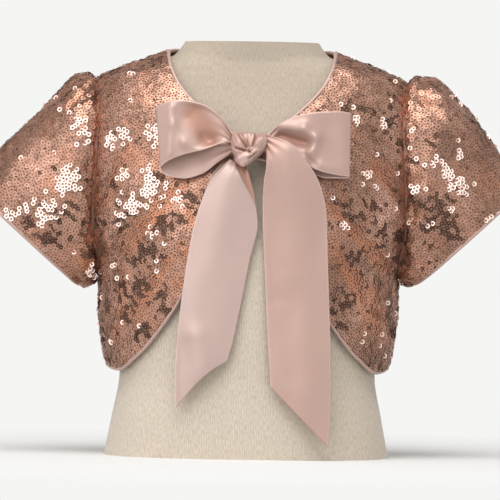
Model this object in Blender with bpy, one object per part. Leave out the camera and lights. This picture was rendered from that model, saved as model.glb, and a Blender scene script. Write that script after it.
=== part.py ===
"""A child's short-sleeved sequin shrug, tied at the neck with a ribbon bow, worn by a tabletop dress form.

Metres, +Z up. The front faces -Y and the wearer's left side is at +X. The origin is the middle of the
form's flat base. Every cloth piece is a closed wall: a grid of outer points worked out from the sizes below,
the same grid moved in along its normals by the cloth's thickness, and a rim round the edge.
"""

import bmesh
import bpy
import numpy as np

# Driving sizes
MM = 0.001
CLOTH = 0.0020
RIBBON = 0.0010
SEAM = 0.0004
PUFF_GATHERS = 7
PUFF_DEPTH = 0.0022
BINDING_WIDTH = 0.0030
BINDING_PROUD = 0.0004
ARMPIT_HEIGHT = 0.1424
SHOULDER_TIP_HEIGHT = 0.3030
NECK_POINT_HEIGHT = 0.3262
SIDE_HEM_HEIGHT = 0.0755
BACK_HEM_HEIGHT = 0.0790
TIE_X = 0.0035
TIE_TOP = 0.2505
TIE_BOTTOM = 0.2425

# Grid sizes: rows and columns of points
FRONT_GRID = (24, 15)
TIE_ROWS = (9, 11)
ARMPIT_ROW = 20
BACK_GRID = (24, 21)
BACK_TIP_ROW = 5
BACK_ARMPIT_ROW = 17
BACK_EVEN_HEIGHTS = 1.0
SLEEVE_GRID = (10, 32)
FORM_AROUND = 40
BINDING_SIDES = 6
TAIL_GRID = (16, 6)
LOOP_GRID = (19, 5)
KNOT_GRID = (9, 18)

# Colours: red, green and blue, then roughness and metallic
SEQUIN_FINISH = (0.50, 0.25, 0.19, 0.35, 0.75)
SATIN_FINISH = (0.66, 0.47, 0.42, 0.35, 0.0)
FORM_FINISH = (0.66, 0.60, 0.49, 0.85, 0.0)


def table(columns, *rows):
    """A table's columns by name, each an array with one value a row."""
    return dict(zip(columns.split(), np.array(rows, float).T))


SECTION = "height half_width front back roundness"
FORM = table(
    SECTION,
    (0.0000, 0.1148, 0.0900, 0.0880, 2.50),
    (0.0300, 0.1090, 0.0890, 0.0835, 2.50),
    (0.0660, 0.1030, 0.0880, 0.0778, 2.38),
    (0.1000, 0.1040, 0.0885, 0.0778, 2.35),
    (0.1400, 0.1085, 0.0890, 0.0802, 2.30),
    (0.1800, 0.1120, 0.0885, 0.0832, 2.25),
    (0.2200, 0.1140, 0.0818, 0.0838, 2.22),
    (0.2500, 0.1145, 0.0712, 0.0790, 2.20),
    (0.2800, 0.1145, 0.0580, 0.0680, 2.20),
    (0.2985, 0.1125, 0.0490, 0.0585, 2.20),
    (0.3065, 0.1075, 0.0450, 0.0545, 2.20),
    (0.3112, 0.1000, 0.0428, 0.0520, 2.20),
    (0.3152, 0.0900, 0.0410, 0.0505, 2.20),
    (0.3180, 0.0780, 0.0400, 0.0495, 2.20),
    (0.3220, 0.0637, 0.0395, 0.0490, 2.20),
    (0.3280, 0.0578, 0.0388, 0.0485, 2.20),
    (0.3336, 0.0540, 0.0382, 0.0480, 2.20),
)
SHRUG = table(
    SECTION,
    (0.0500, 0.1080, 0.0925, 0.0850, 2.05),
    (0.0776, 0.1155, 0.0940, 0.0862, 2.05),
    (0.0960, 0.1190, 0.0945, 0.0866, 2.08),
    (0.1160, 0.1210, 0.0955, 0.0872, 2.10),
    (0.1424, 0.1213, 0.0965, 0.0885, 2.15),
    (0.1800, 0.1330, 0.0970, 0.0900, 2.20),
    (0.2200, 0.1390, 0.0900, 0.0910, 2.20),
    (0.2500, 0.1400, 0.0800, 0.0870, 2.20),
    (0.2750, 0.1370, 0.0690, 0.0790, 2.20),
    (0.2920, 0.1320, 0.0605, 0.0700, 2.20),
    (0.3030, 0.1260, 0.0545, 0.0635, 2.20),
    (0.3085, 0.1150, 0.0520, 0.0605, 2.20),
    (0.3145, 0.1000, 0.0495, 0.0580, 2.20),
    (0.3205, 0.0840, 0.0470, 0.0560, 2.20),
    (0.3262, 0.0695, 0.0450, 0.0545, 2.20),
    (0.3330, 0.0540, 0.0430, 0.0530, 2.20),
)
# The armhole seam: how far it reaches forward and back of the side line
ARMHOLE_FORWARD = 0.0450
ARMHOLE_REARWARD = 0.0480
ARMHOLE_FULLNESS = 0.9
# Where round the armhole (0 the shoulder tip, pi the armpit) the front's rows end
FRONT_ROW_ENDS = table(
    "row turn",
    (0, 0.0),
    (TIE_ROWS[0], 1.00),
    (TIE_ROWS[1], 1.27),
    (ARMPIT_ROW, np.pi),
)
# The front's inner edge, seen from the front: the neckline down to the tie, then the cutaway down to the hem
NECKLINE = table(
    "x height",
    (0.0696, 0.3252),
    (0.0692, 0.3220),
    (0.0683, 0.3180),
    (0.0652, 0.3080),
    (0.0590, 0.2960),
    (0.0480, 0.2835),
    (0.0350, 0.2715),
    (0.0180, 0.2590),
    (TIE_X, TIE_TOP),
)
CUTAWAY = table(
    "x height",
    (TIE_X, TIE_BOTTOM),
    (0.0165, 0.2395),
    (0.0262, 0.2335),
    (0.0325, 0.2245),
    (0.0368, 0.2130),
    (0.0405, 0.1960),
    (0.0450, 0.1660),
    (0.0542, 0.1320),
    (0.0615, 0.1190),
    (0.0702, 0.1060),
    (0.0850, 0.0870),
    (0.0945, 0.0778),
)
# The front's hem, from the end of the cutaway round its lowest point to the side seam
FRONT_HEM = table(
    "x height",
    (0.0945, 0.0778),
    (0.0990, 0.0736),
    (0.1040, 0.0710),
    (0.1090, 0.0716),
)
BACK_NECKLINE = table(
    "x height",
    (0.0690, 0.3258),
    (0.0665, 0.3266),
    (0.0620, 0.3268),
    (0.0540, 0.3262),
    (0.0380, 0.3246),
    (0.0180, 0.3232),
    (0.0000, 0.3228),
)
# Folds, seen from the front: each runs from one point to another, so wide and so deep (a ridge is negative)
FOLD = "from_x from_z to_x to_z width depth"
LEFT_FRONT_FOLDS = table(
    FOLD,
    (0.0990, 0.2330, 0.1190, 0.2130, 0.0065, 0.0035),
    (0.0640, 0.2050, 0.1080, 0.1560, 0.0080, 0.0035),
    (0.0700, 0.1650, 0.0980, 0.1180, 0.0085, 0.0028),
    (0.0560, 0.2250, 0.0960, 0.1880, 0.0090, -0.0022),
    (0.1020, 0.1360, 0.1060, 0.0900, 0.0080, 0.0018),
)
RIGHT_FRONT_FOLDS = table(
    FOLD,
    (-0.0560, 0.2180, -0.0980, 0.1660, 0.0075, 0.0040),
    (-0.0640, 0.1600, -0.0880, 0.1150, 0.0080, 0.0030),
    (-0.0500, 0.1980, -0.0840, 0.1480, 0.0085, -0.0024),
    (-0.0960, 0.2440, -0.1160, 0.2050, 0.0075, 0.0028),
    (-0.1000, 0.1420, -0.1050, 0.0920, 0.0080, 0.0020),
)
BACK_FOLDS = table(
    FOLD,
    (-0.0600, 0.2500, -0.1060, 0.1850, 0.0100, 0.0035),
    (0.0620, 0.2480, 0.1070, 0.1800, 0.0100, 0.0035),
    (-0.0420, 0.1700, -0.0560, 0.0950, 0.0110, 0.0024),
    (0.0300, 0.1800, 0.0460, 0.0900, 0.0110, 0.0026),
    (0.0020, 0.2300, -0.0040, 0.1500, 0.0120, 0.0018),
)
# A sleeve's rings, seen from the front: the top and bottom of each, and how far it reaches forward and back
SLEEVE = "share top_x top_z bottom_x bottom_z forward rearward"
LEFT_SLEEVE = table(
    SLEEVE,
    (0.00, 0.1260, 0.3030, 0.1213, 0.1424, ARMHOLE_FORWARD, ARMHOLE_REARWARD),
    (0.06, 0.1315, 0.3072, 0.1222, 0.1415, 0.0475, 0.0500),
    (0.20, 0.1440, 0.3065, 0.1240, 0.1408, 0.0500, 0.0530),
    (0.38, 0.1570, 0.2995, 0.1264, 0.1402, 0.0515, 0.0535),
    (0.60, 0.1755, 0.2802, 0.1290, 0.1400, 0.0490, 0.0500),
    (0.82, 0.1985, 0.2490, 0.1315, 0.1398, 0.0440, 0.0450),
    (1.00, 0.2180, 0.2185, 0.1340, 0.1400, 0.0400, 0.0410),
)
RIGHT_SLEEVE = table(
    SLEEVE,
    (0.00, -0.1260, 0.3030, -0.1213, 0.1424, ARMHOLE_FORWARD, ARMHOLE_REARWARD),
    (0.06, -0.1305, 0.3062, -0.1225, 0.1410, 0.0475, 0.0500),
    (0.20, -0.1400, 0.3035, -0.1246, 0.1390, 0.0500, 0.0530),
    (0.38, -0.1565, 0.2890, -0.1276, 0.1376, 0.0510, 0.0530),
    (0.60, -0.1790, 0.2664, -0.1306, 0.1364, 0.0485, 0.0500),
    (0.82, -0.2045, 0.2425, -0.1330, 0.1358, 0.0440, 0.0450),
    (1.00, -0.2270, 0.2192, -0.1350, 0.1354, 0.0400, 0.0410),
)
# Ribbon strips in millimetres, seen from the front: where edges a and b run, and the swell between them
STRIP = "share a_x a_z a_forward b_x b_z b_forward swell"
RIGHT_TAIL = table(
    STRIP,
    (0.00, -16.4, 238.5, 91.5, -3.0, 232.8, 93.0, 0.5),
    (0.08, -22.5, 232.5, 93.8, -1.5, 228.5, 95.5, 2.5),
    (0.16, -29.9, 224.0, 94.8, 0.8, 220.5, 96.5, 3.5),
    (0.27, -38.0, 206.0, 95.4, 5.0, 203.0, 95.5, 3.5),
    (0.38, -44.0, 186.0, 95.8, 6.8, 186.0, 94.5, 3.2),
    (0.50, -48.8, 159.0, 95.8, 1.2, 160.0, 94.0, 3.0),
    (0.64, -53.0, 127.0, 95.4, -5.0, 127.5, 94.0, 3.2),
    (0.80, -56.3, 92.0, 94.8, -11.2, 96.0, 94.5, 3.5),
    (0.92, -57.6, 60.0, 94.6, -14.2, 84.5, 95.0, 3.2),
    (1.00, -56.4, 39.5, 94.6, -16.0, 78.5, 95.0, 2.0),
)
LEFT_TAIL = table(
    STRIP,
    (0.00, 12.1, 246.8, 98.2, 12.4, 258.5, 96.6, 0.3),
    (0.08, 12.6, 234.5, 101.5, 31.5, 252.0, 100.5, 2.0),
    (0.16, 11.0, 222.5, 99.5, 44.0, 238.5, 100.8, 3.0),
    (0.27, 10.2, 205.0, 96.5, 55.5, 219.5, 98.8, 3.5),
    (0.38, 10.6, 186.0, 94.8, 61.0, 197.0, 96.8, 3.0),
    (0.50, 12.0, 160.0, 94.0, 62.5, 164.0, 95.8, 2.5),
    (0.64, 13.8, 127.0, 94.0, 64.2, 127.0, 95.2, 2.5),
    (0.80, 16.0, 92.0, 94.5, 66.0, 84.0, 94.6, 3.0),
    (0.92, 17.8, 70.0, 95.0, 66.6, 42.0, 94.6, 3.0),
    (1.00, 18.6, 58.5, 95.0, 65.2, 10.5, 94.6, 1.5),
)
RIGHT_LOOP = table(
    STRIP,
    (0.00, -15.0, 251.6, 95.5, -15.0, 258.0, 94.5, 0.5),
    (0.12, -24.0, 250.6, 98.5, -24.0, 271.5, 96.5, 1.5),
    (0.24, -38.5, 245.4, 99.0, -39.0, 281.8, 96.5, 1.5),
    (0.36, -54.0, 241.2, 97.5, -55.5, 284.8, 93.5, 1.5),
    (0.46, -67.0, 235.2, 94.0, -69.5, 282.5, 87.5, 1.0),
    (0.52, -71.5, 230.6, 90.5, -76.0, 278.5, 81.0, 0.5),
    (0.58, -68.0, 225.5, 88.5, -73.0, 276.5, 76.0, 0.0),
    (0.70, -53.0, 222.5, 88.8, -57.0, 276.0, 75.5, 0.0),
    (0.82, -38.0, 226.5, 90.0, -39.0, 273.0, 79.0, 0.0),
    (0.92, -25.0, 236.5, 90.0, -25.0, 265.5, 84.0, 0.0),
    (1.00, -14.6, 244.0, 91.2, -14.6, 254.0, 90.4, 0.0),
)
LEFT_LOOP = table(
    STRIP,
    (0.00, 12.7, 245.5, 94.0, 12.7, 256.0, 92.5, 0.5),
    (0.12, 24.0, 245.0, 96.8, 24.0, 268.0, 94.5, 1.0),
    (0.24, 38.0, 238.5, 97.8, 39.0, 274.5, 94.5, 1.0),
    (0.36, 54.0, 230.5, 97.0, 56.0, 277.4, 91.5, 1.0),
    (0.46, 70.0, 227.0, 93.5, 72.0, 278.0, 86.0, 1.0),
    (0.52, 79.0, 226.0, 88.5, 79.6, 276.0, 80.0, 0.5),
    (0.58, 75.0, 224.5, 87.0, 76.0, 273.5, 75.0, 0.0),
    (0.70, 60.0, 224.5, 88.2, 61.0, 271.5, 75.0, 0.0),
    (0.82, 42.0, 231.5, 88.8, 43.0, 268.5, 78.5, 0.0),
    (0.92, 26.0, 240.5, 88.5, 26.0, 263.5, 83.5, 0.0),
    (1.00, 12.7, 244.5, 89.5, 12.7, 254.5, 88.0, 0.0),
)
KNOT_CENTRE = (-0.0013, -0.0941, 0.2472)
KNOT_HALF_SIZE = (0.0136, 0.0102, 0.0126)
KNOT_SQUARENESS = 0.72
KNOT_LOBES = 4
KNOT_LOBE_DEPTH = 0.02


def smooth(at, knots, values):
    """A monotone cubic curve through the knots, read at the places asked for."""
    steps = np.diff(knots)
    slopes = np.diff(values) / steps
    before, after = slopes[:-1], slopes[1:]
    weight_before = 2 * steps[1:] + steps[:-1]
    weight_after = steps[1:] + 2 * steps[:-1]
    rising = before * after > 0
    safe_before = np.where(rising, before, 1.0)
    safe_after = np.where(rising, after, 1.0)
    mean = (weight_before + weight_after) / (weight_before / safe_before + weight_after / safe_after)
    tangents = np.concatenate([slopes[:1], np.where(rising, mean, 0.0), slopes[-1:]])
    at = np.clip(at, knots[0], knots[-1])
    span = np.clip(np.searchsorted(knots, at) - 1, 0, len(steps) - 1)
    t = (at - knots[span]) / steps[span]
    start = (1 + 2 * t) * (1 - t) ** 2 * values[span] + t * (1 - t) ** 2 * steps[span] * tangents[span]
    end = t**2 * (3 - 2 * t) * values[span + 1] + t**2 * (t - 1) * steps[span] * tangents[span + 1]
    return start + end


def column(rows, name, share):
    return smooth(share, rows["share"], rows[name])


def unit(vectors):
    return vectors / np.linalg.norm(vectors, axis=-1, keepdims=True)


def torso(sections, angle, height):
    """A point on a torso. Each level section is a rounded ellipse; angle 0 is the centre front and 90 degrees is +X."""
    half, front, back, power = (smooth(height, sections["height"], sections[key]) for key in SECTION.split()[1:])
    depth = np.where(np.cos(angle) >= 0, front, back)
    sideways = np.abs(np.sin(angle)) / half
    lengthways = np.abs(np.cos(angle)) / depth
    radius = (sideways**power + lengthways**power) ** (-1 / power)
    return np.stack([radius * np.sin(angle), -radius * np.cos(angle), height + 0 * angle], axis=-1)


def torso_normal(sections, angle, height):
    """The outward normal there, from two short steps along the surface."""
    step = 1e-4
    across = torso(sections, angle + step, height) - torso(sections, angle - step, height)
    upward = torso(sections, angle, height + step) - torso(sections, angle, height - step)
    return unit(np.cross(across, upward))


def depth_at(x, height, side):
    """How far forward (side "front") or back the shrug lies at this distance from the middle."""
    half, depth, power = (smooth(height, SHRUG["height"], SHRUG[key]) for key in ("half_width", side, "roundness"))
    return depth * np.maximum(0.0, 1 - (np.abs(x) / half) ** power) ** (1 / power)


def angle_at(x, height, side="front"):
    """The torso angle of a point at this distance from the middle."""
    away = depth_at(x, height, side)
    return np.arctan2(x, away if side == "front" else -away)


def seam_half_angle(height):
    """The angle that holds the torso seams half a seam's width off the side line."""
    return SEAM / 2 / smooth(height, SHRUG["height"], SHRUG["half_width"])


def armhole_height(turn):
    """The height on the armhole at a turn from 0, the shoulder tip, to pi, the armpit."""
    middle = (SHOULDER_TIP_HEIGHT + ARMPIT_HEIGHT) / 2
    return middle + (SHOULDER_TIP_HEIGHT - ARMPIT_HEIGHT) / 2 * np.cos(turn)


def armhole_depth(turn, side):
    """How far the armhole seam lies forward or back of the side line at a turn."""
    reach = ARMHOLE_FORWARD if side == "front" else ARMHOLE_REARWARD
    return reach * np.abs(np.sin(turn)) ** ARMHOLE_FULLNESS


def reach_at(depth, height, side):
    """How far out the shrug's surface lies at this depth: depth_at turned round."""
    half, full, power = (smooth(height, SHRUG["height"], SHRUG[key]) for key in ("half_width", side, "roundness"))
    return half * np.maximum(0.0, 1 - (depth / full) ** power) ** (1 / power)


def side_edge(rows, turn, side, hem_height):
    """The panel's outer edge as (angle, height): round the armhole at these turns, then down the side seam."""
    armhole = armhole_height(turn)
    seam = np.linspace(ARMPIT_HEIGHT, hem_height, rows - len(turn) + 1)[1:]
    height = np.concatenate([armhole, seam])
    depth = np.concatenate([armhole_depth(turn, side), 0 * seam])
    least = SEAM / 2
    depth = np.maximum(depth, least)
    reach = reach_at(depth, height, side)
    angle = np.arctan2(reach, depth if side == "front" else -depth)
    return np.stack([angle, height], axis=-1)


def curve_through(knots, count):
    """Evenly spaced (angle, height) points on a smooth curve through these, measured along the cloth."""
    places = torso(SHRUG, knots[:, 0], knots[:, 1])
    along = np.concatenate([[0], np.cumsum(np.linalg.norm(np.diff(places, axis=0), axis=1))])
    at = np.linspace(0, along[-1], count)
    return np.stack([smooth(at, along, knots[:, k]) for k in range(2)], axis=-1)


def on_torso(rows, side="front"):
    """A table's (x, height) points as (angle, height)."""
    return np.stack([angle_at(rows["x"], rows["height"], side), rows["height"]], axis=-1)


def front_edge(rows):
    """The front's inner edge as (angle, height): neckline, the short stretch at the tie, then the cutaway."""
    neck_point = [np.pi / 2 - seam_half_angle(NECK_POINT_HEIGHT), NECK_POINT_HEIGHT]
    neck = curve_through(np.concatenate([[neck_point], on_torso(NECKLINE)]), TIE_ROWS[0] + 1)
    away = curve_through(on_torso(CUTAWAY), rows - TIE_ROWS[1])
    tie = straight(neck[-1], away[0], TIE_ROWS[1] - TIE_ROWS[0] + 1)[1:-1]
    return np.concatenate([neck, tie, away])


def coons(top, bottom, start, end):
    """The smooth patch between four edges, each a list of (angle, height) points."""
    v = np.linspace(0, 1, len(start))[:, None, None]
    u = np.linspace(0, 1, len(top))[None, :, None]
    ruled_down = (1 - v) * top[None] + v * bottom[None]
    ruled_across = (1 - u) * start[:, None] + u * end[:, None]
    corners = (1 - v) * ((1 - u) * top[0] + u * top[-1]) + v * ((1 - u) * bottom[0] + u * bottom[-1])
    return ruled_down + ruled_across - corners


def straight(start, end, count):
    share = np.linspace(0, 1, count)[:, None]
    return (1 - share) * np.array(start) + share * np.array(end)


def fold_depth(points, folds):
    """How deep the folds press the cloth in at each point: a soft trough along each fold's line."""
    depth = np.zeros(points.shape[:-1])
    flat = points[..., [0, 2]]
    for k in range(len(folds["width"])):
        start = np.array([folds["from_x"][k], folds["from_z"][k]])
        line = np.array([folds["to_x"][k], folds["to_z"][k]]) - start
        share = ((flat - start) @ line) / (line @ line)
        nearest = start + np.clip(share, 0, 1)[..., None] * line
        off = np.linalg.norm(flat - nearest, axis=-1) / folds["width"][k]
        depth += folds["depth"][k] * np.exp(-(off**2))
    return depth


def edge_mask(rows, columns):
    """0 on a panel's edges, rising to 1 inside, so that folds leave the seams where they are."""
    ease = []
    for count in (rows, columns):
        share = np.linspace(0, 1, count)
        near = np.clip(np.minimum(share, 1 - share) / 0.16, 0, 1)
        ease.append(near**2 * (3 - 2 * near))
    return ease[0][:, None] * ease[1][None, :]


def panel_points(domain, folds):
    """(points, normals) of a torso panel given its grid of (angle, height)."""
    points = torso(SHRUG, domain[..., 0], domain[..., 1])
    normals = torso_normal(SHRUG, domain[..., 0], domain[..., 1])
    depth = fold_depth(points, folds) * edge_mask(*domain.shape[:2])
    return points - normals * depth[..., None], normals


def front_domain():
    """The left front's grid of (angle, height). Row 0 is the shoulder seam and column 0 the inner edge."""
    rows, columns = FRONT_GRID
    inner = front_edge(rows)
    turn = smooth(np.arange(ARMPIT_ROW + 1), FRONT_ROW_ENDS["row"], FRONT_ROW_ENDS["turn"])
    outer = side_edge(rows, turn, "front", SIDE_HEM_HEIGHT)
    top_height = np.linspace(NECK_POINT_HEIGHT, SHOULDER_TIP_HEIGHT, columns)
    top = np.stack([np.pi / 2 - seam_half_angle(top_height), top_height], axis=-1)
    bottom = curve_through(np.concatenate([on_torso(FRONT_HEM), outer[-1:]]), columns)
    inner[-1] = bottom[0]
    inner[0], outer[0] = top[0], top[-1]
    return coons(top, bottom, inner, outer)


def back_domain():
    """The back's grid of (angle, height). Row 0 is the neckline and column 0 runs down the wearer's left side."""
    rows, columns = BACK_GRID
    height = np.linspace(NECK_POINT_HEIGHT, SHOULDER_TIP_HEIGHT, BACK_TIP_ROW + 1)
    shoulder = np.stack([np.pi / 2 + seam_half_angle(height), height], axis=-1)
    share = np.linspace(0, 1, BACK_ARMPIT_ROW - BACK_TIP_ROW + 1)
    turn = BACK_EVEN_HEIGHTS * np.arccos(1 - 2 * share) + (1 - BACK_EVEN_HEIGHTS) * np.pi * share
    side = np.concatenate([shoulder[:-1], side_edge(rows - BACK_TIP_ROW, turn, "back", SIDE_HEM_HEIGHT)])
    side[BACK_TIP_ROW] = shoulder[-1]
    half = curve_through(np.concatenate([shoulder[:1], on_torso(BACK_NECKLINE, "back")]), columns // 2 + 1)
    top = np.concatenate([half, [2 * np.pi, 0] + half[-2::-1] * [-1, 1]])
    hem_angle = np.linspace(side[-1, 0], 2 * np.pi - side[-1, 0], columns)
    rise = (BACK_HEM_HEIGHT - SIDE_HEM_HEIGHT) * np.sin(hem_angle - np.pi / 2) ** 2
    bottom = np.stack([hem_angle, SIDE_HEM_HEIGHT + rise], axis=-1)
    other = np.stack([2 * np.pi - side[:, 0], side[:, 1]], axis=-1)
    return coons(top, bottom, side, other)


def sleeve_points(rows, side):
    """A sleeve's outer points, ring by ring from the armhole to the hem. A turn of 0 is the top, pi the underarm."""
    rings, around = SLEEVE_GRID
    share = np.linspace(0, 1, rings)[:, None] ** 1.15
    turn = np.linspace(0, 2 * np.pi, around, endpoint=False)[None, :]
    top = np.stack([column(rows, "top_x", share), column(rows, "top_z", share)], axis=-1)
    bottom = np.stack([column(rows, "bottom_x", share), column(rows, "bottom_z", share)], axis=-1)
    flat = (top + bottom) / 2 + (top - bottom) / 2 * np.cos(turn)[..., None]
    height = armhole_height(turn)
    is_front = np.sin(turn) >= 0
    forward = armhole_depth(turn, "front")
    rearward = armhole_depth(turn, "back")
    reach = np.where(is_front, reach_at(forward, height, "front"), reach_at(rearward, height, "back")) + SEAM
    spread = np.where(is_front, column(rows, "forward", share), column(rows, "rearward", share))
    ease = np.clip(share / 0.35, 0, 1)
    ease = ease**2 * (3 - 2 * ease)
    oval = (1 - ease) * np.abs(np.sin(turn)) ** ARMHOLE_FULLNESS + ease * np.abs(np.sin(turn)) ** 0.85
    settle = (1 - ease) * (side * reach - flat[:1, :, 0])
    away = np.where(is_front, -1, 1)
    return np.stack([flat[..., 0] + settle, away * spread * oval, flat[..., 1]], axis=-1)


def grid_normals(points, wrap_columns=False):
    """Normals of a grid from the differences between neighbours."""
    down = np.gradient(points, axis=0)
    if wrap_columns:
        across = np.roll(points, -1, axis=1) - np.roll(points, 1, axis=1)
    else:
        across = np.gradient(points, axis=1)
    return unit(np.cross(down, across))


def gathered(points, normals):
    """The sleeve head's gathers: shallow waves at the seam's top that fade down the sleeve."""
    rings, around = SLEEVE_GRID
    share = np.linspace(0, 1, rings)[:, None]
    turn = np.linspace(-np.pi, np.pi, around, endpoint=False)[None, :]
    turn = np.roll(turn, around // 2, axis=1)
    at_head = np.exp(-((turn / 0.75) ** 2))
    fade = np.sin(np.pi * np.clip(share / 0.6, 0, 1)) ** 2
    wave = np.cos(PUFF_GATHERS * turn * 1.6) * at_head * fade * PUFF_DEPTH
    return points + normals * wave[..., None]


def finish(name, points, faces, look):
    """Makes one object of the points and faces, with its normals outwards and its material on."""
    mesh = bpy.data.meshes.new(name)
    mesh.from_pydata(points.reshape(-1, 3).tolist(), [], faces)
    work = bmesh.new()
    work.from_mesh(mesh)
    bmesh.ops.recalc_face_normals(work, faces=work.faces)
    if work.calc_volume(signed=True) < 0:
        bmesh.ops.reverse_faces(work, faces=work.faces)
    work.to_mesh(mesh)
    work.free()
    mesh.materials.append(look)
    mesh.shade_smooth()
    mesh.set_sharp_from_angle(angle=np.radians(50))
    obj = bpy.data.objects.new(name, mesh)
    bpy.context.scene.collection.objects.link(obj)
    return obj


def grid_faces(rows, columns, first=0, wrap_columns=False):
    """The quads of a grid of points, row by row."""
    last = columns if wrap_columns else columns - 1
    faces = []
    for r in range(rows - 1):
        for c in range(last):
            d = (c + 1) % columns
            corner = (r * columns + c, r * columns + d, (r + 1) * columns + d, (r + 1) * columns + c)
            faces.append(tuple(first + k for k in corner))
    return faces


def wall(name, points, normals, thickness, look, wrap_columns=False):
    """A closed cloth wall: the outer grid, the inner grid along the normals, and the rim between them."""
    rows, columns = points.shape[:2]
    count = rows * columns
    both = np.concatenate([points.reshape(-1, 3), (points - normals * thickness).reshape(-1, 3)])
    outer = grid_faces(rows, columns, wrap_columns=wrap_columns)
    inner = [tuple(reversed([k + count for k in face])) for face in outer]
    index = np.arange(count).reshape(rows, columns)
    if wrap_columns:
        borders = [np.append(index[0], index[0, 0]), np.append(index[-1], index[-1, 0])[::-1]]
    else:
        borders = [np.concatenate([index[0], index[1:, -1], index[-1, -2::-1], index[-2::-1, 0]])]
    rim = []
    for border in borders:
        for a, b in zip(border[:-1].tolist(), border[1:].tolist()):
            rim.append((b, a, a + count, b + count))
    return finish(name, both, outer + inner + rim, look)


def binding(name, edge, normals, inward, look, seam_ends=(False, False), closed=False):
    """A narrow rolled strip of satin just outside a panel's edge, from the edge's own points and normals."""
    if closed:
        along = np.roll(edge, -1, axis=0) - np.roll(edge, 1, axis=0)
    else:
        along = np.gradient(edge, axis=0)
    outward = unit(np.cross(along, normals))
    outward *= np.sign(-(outward * inward).sum(-1, keepdims=True))
    normals = normals - (normals * unit(along)).sum(-1, keepdims=True) * unit(along)
    normals = unit(normals)
    for end, is_seam in zip((0, -1), seam_ends):
        if is_seam:
            outward[end] = unit(outward[end] * [1, 0, 1])
            normals[end] = unit(normals[end] * [1, 0, 1])
    centre = edge + outward * (SEAM + BINDING_WIDTH / 2) - normals * CLOTH / 2
    turn = np.linspace(0, 2 * np.pi, BINDING_SIDES, endpoint=False) + np.pi / BINDING_SIDES
    wide = outward[:, None] * (np.cos(turn) * BINDING_WIDTH / 2)[None, :, None]
    thick = normals[:, None] * (np.sin(turn) * (CLOTH / 2 + BINDING_PROUD))[None, :, None]
    points = centre[:, None] + wide + thick
    count = len(edge)
    if closed:
        points = np.concatenate([points, points[:1]])
        faces = grid_faces(count + 1, BINDING_SIDES, wrap_columns=True)
        faces = [tuple(k % (count * BINDING_SIDES) for k in face) for face in faces]
        return finish(name, points[:-1], faces, look)
    faces = grid_faces(count, BINDING_SIDES, wrap_columns=True)
    last = (count - 1) * BINDING_SIDES
    faces.append(tuple(range(BINDING_SIDES)))
    faces.append(tuple(range(last, last + BINDING_SIDES))[::-1])
    return finish(name, points, faces, look)


def strip(name, rows, grid, look, side=1):
    """A ribbon: across each row it runs from edge a to edge b, swelling forward in the middle."""
    count, across = grid
    share = np.linspace(0, 1, count)[:, None]
    u = np.linspace(0, 1, across)[None, :]
    edges = [np.stack([column(rows, f"{e}_{key}", share) for key in ("x", "forward", "z")], axis=-1) for e in "ab"]
    points = edges[0] + (edges[1] - edges[0]) * u[..., None]
    points[..., 1] += column(rows, "swell", share) * np.sin(np.pi * u)
    points = points * [MM, -MM, MM]
    return wall(name, points, side * grid_normals(points), RIBBON, look)


def signed_power(values, power):
    return np.sign(values) * np.abs(values) ** power


def knot(name, look):
    """The knot: a squarish ball of wound ribbon with low ridges that lean round it."""
    rows, around = KNOT_GRID
    level = np.linspace(0, np.pi, rows)[1:-1, None]
    turn = np.linspace(0, 2 * np.pi, around, endpoint=False)[None, :]
    swell = 1 - KNOT_LOBE_DEPTH * (1 + np.cos(KNOT_LOBES * turn + 2 * level)) * np.sin(level)
    ring = np.sin(level) ** KNOT_SQUARENESS * swell
    across = ring * signed_power(np.cos(turn), KNOT_SQUARENESS)
    forward = ring * signed_power(np.sin(turn), KNOT_SQUARENESS)
    upward = signed_power(np.cos(level), KNOT_SQUARENESS) + 0 * turn
    points = np.stack([across, forward, upward], axis=-1).reshape(-1, 3)
    poles = np.array([[0, 0, 1.0], [0, 0, -1.0]])
    points = np.array(KNOT_CENTRE) + np.concatenate([points, poles]) * np.array(KNOT_HALF_SIZE)
    faces = grid_faces(rows - 2, around, wrap_columns=True)
    top, bottom, last = around * (rows - 2), around * (rows - 2) + 1, around * (rows - 3)
    faces += [(top, (c + 1) % around, c) for c in range(around)]
    faces += [(bottom, last + c, last + (c + 1) % around) for c in range(around)]
    return finish(name, points, faces, look)


def dress_form(look):
    """The limbless form: stacked sections from the flat base up over the shoulders to the flat neck."""
    heights = FORM["height"]
    turn = np.linspace(0, 2 * np.pi, FORM_AROUND, endpoint=False)
    points = torso(FORM, turn[None, :] + 0 * heights[:, None], heights[:, None] + 0 * turn[None, :])
    faces = grid_faces(len(heights), FORM_AROUND, wrap_columns=True)
    last = (len(heights) - 1) * FORM_AROUND
    faces.append(tuple(range(FORM_AROUND)))
    faces.append(tuple(range(last, last + FORM_AROUND))[::-1])
    return finish("dress_form", points, faces, look)


def material(name, finish_values):
    """A plain Principled material from its colour, roughness and metallic values."""
    look = bpy.data.materials.new(name)
    look.use_nodes = True
    shader = look.node_tree.nodes["Principled BSDF"]
    shader.inputs["Base Color"].default_value = (*finish_values[:3], 1)
    shader.inputs["Roughness"].default_value = finish_values[3]
    shader.inputs["Metallic"].default_value = finish_values[4]
    return look


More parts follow.
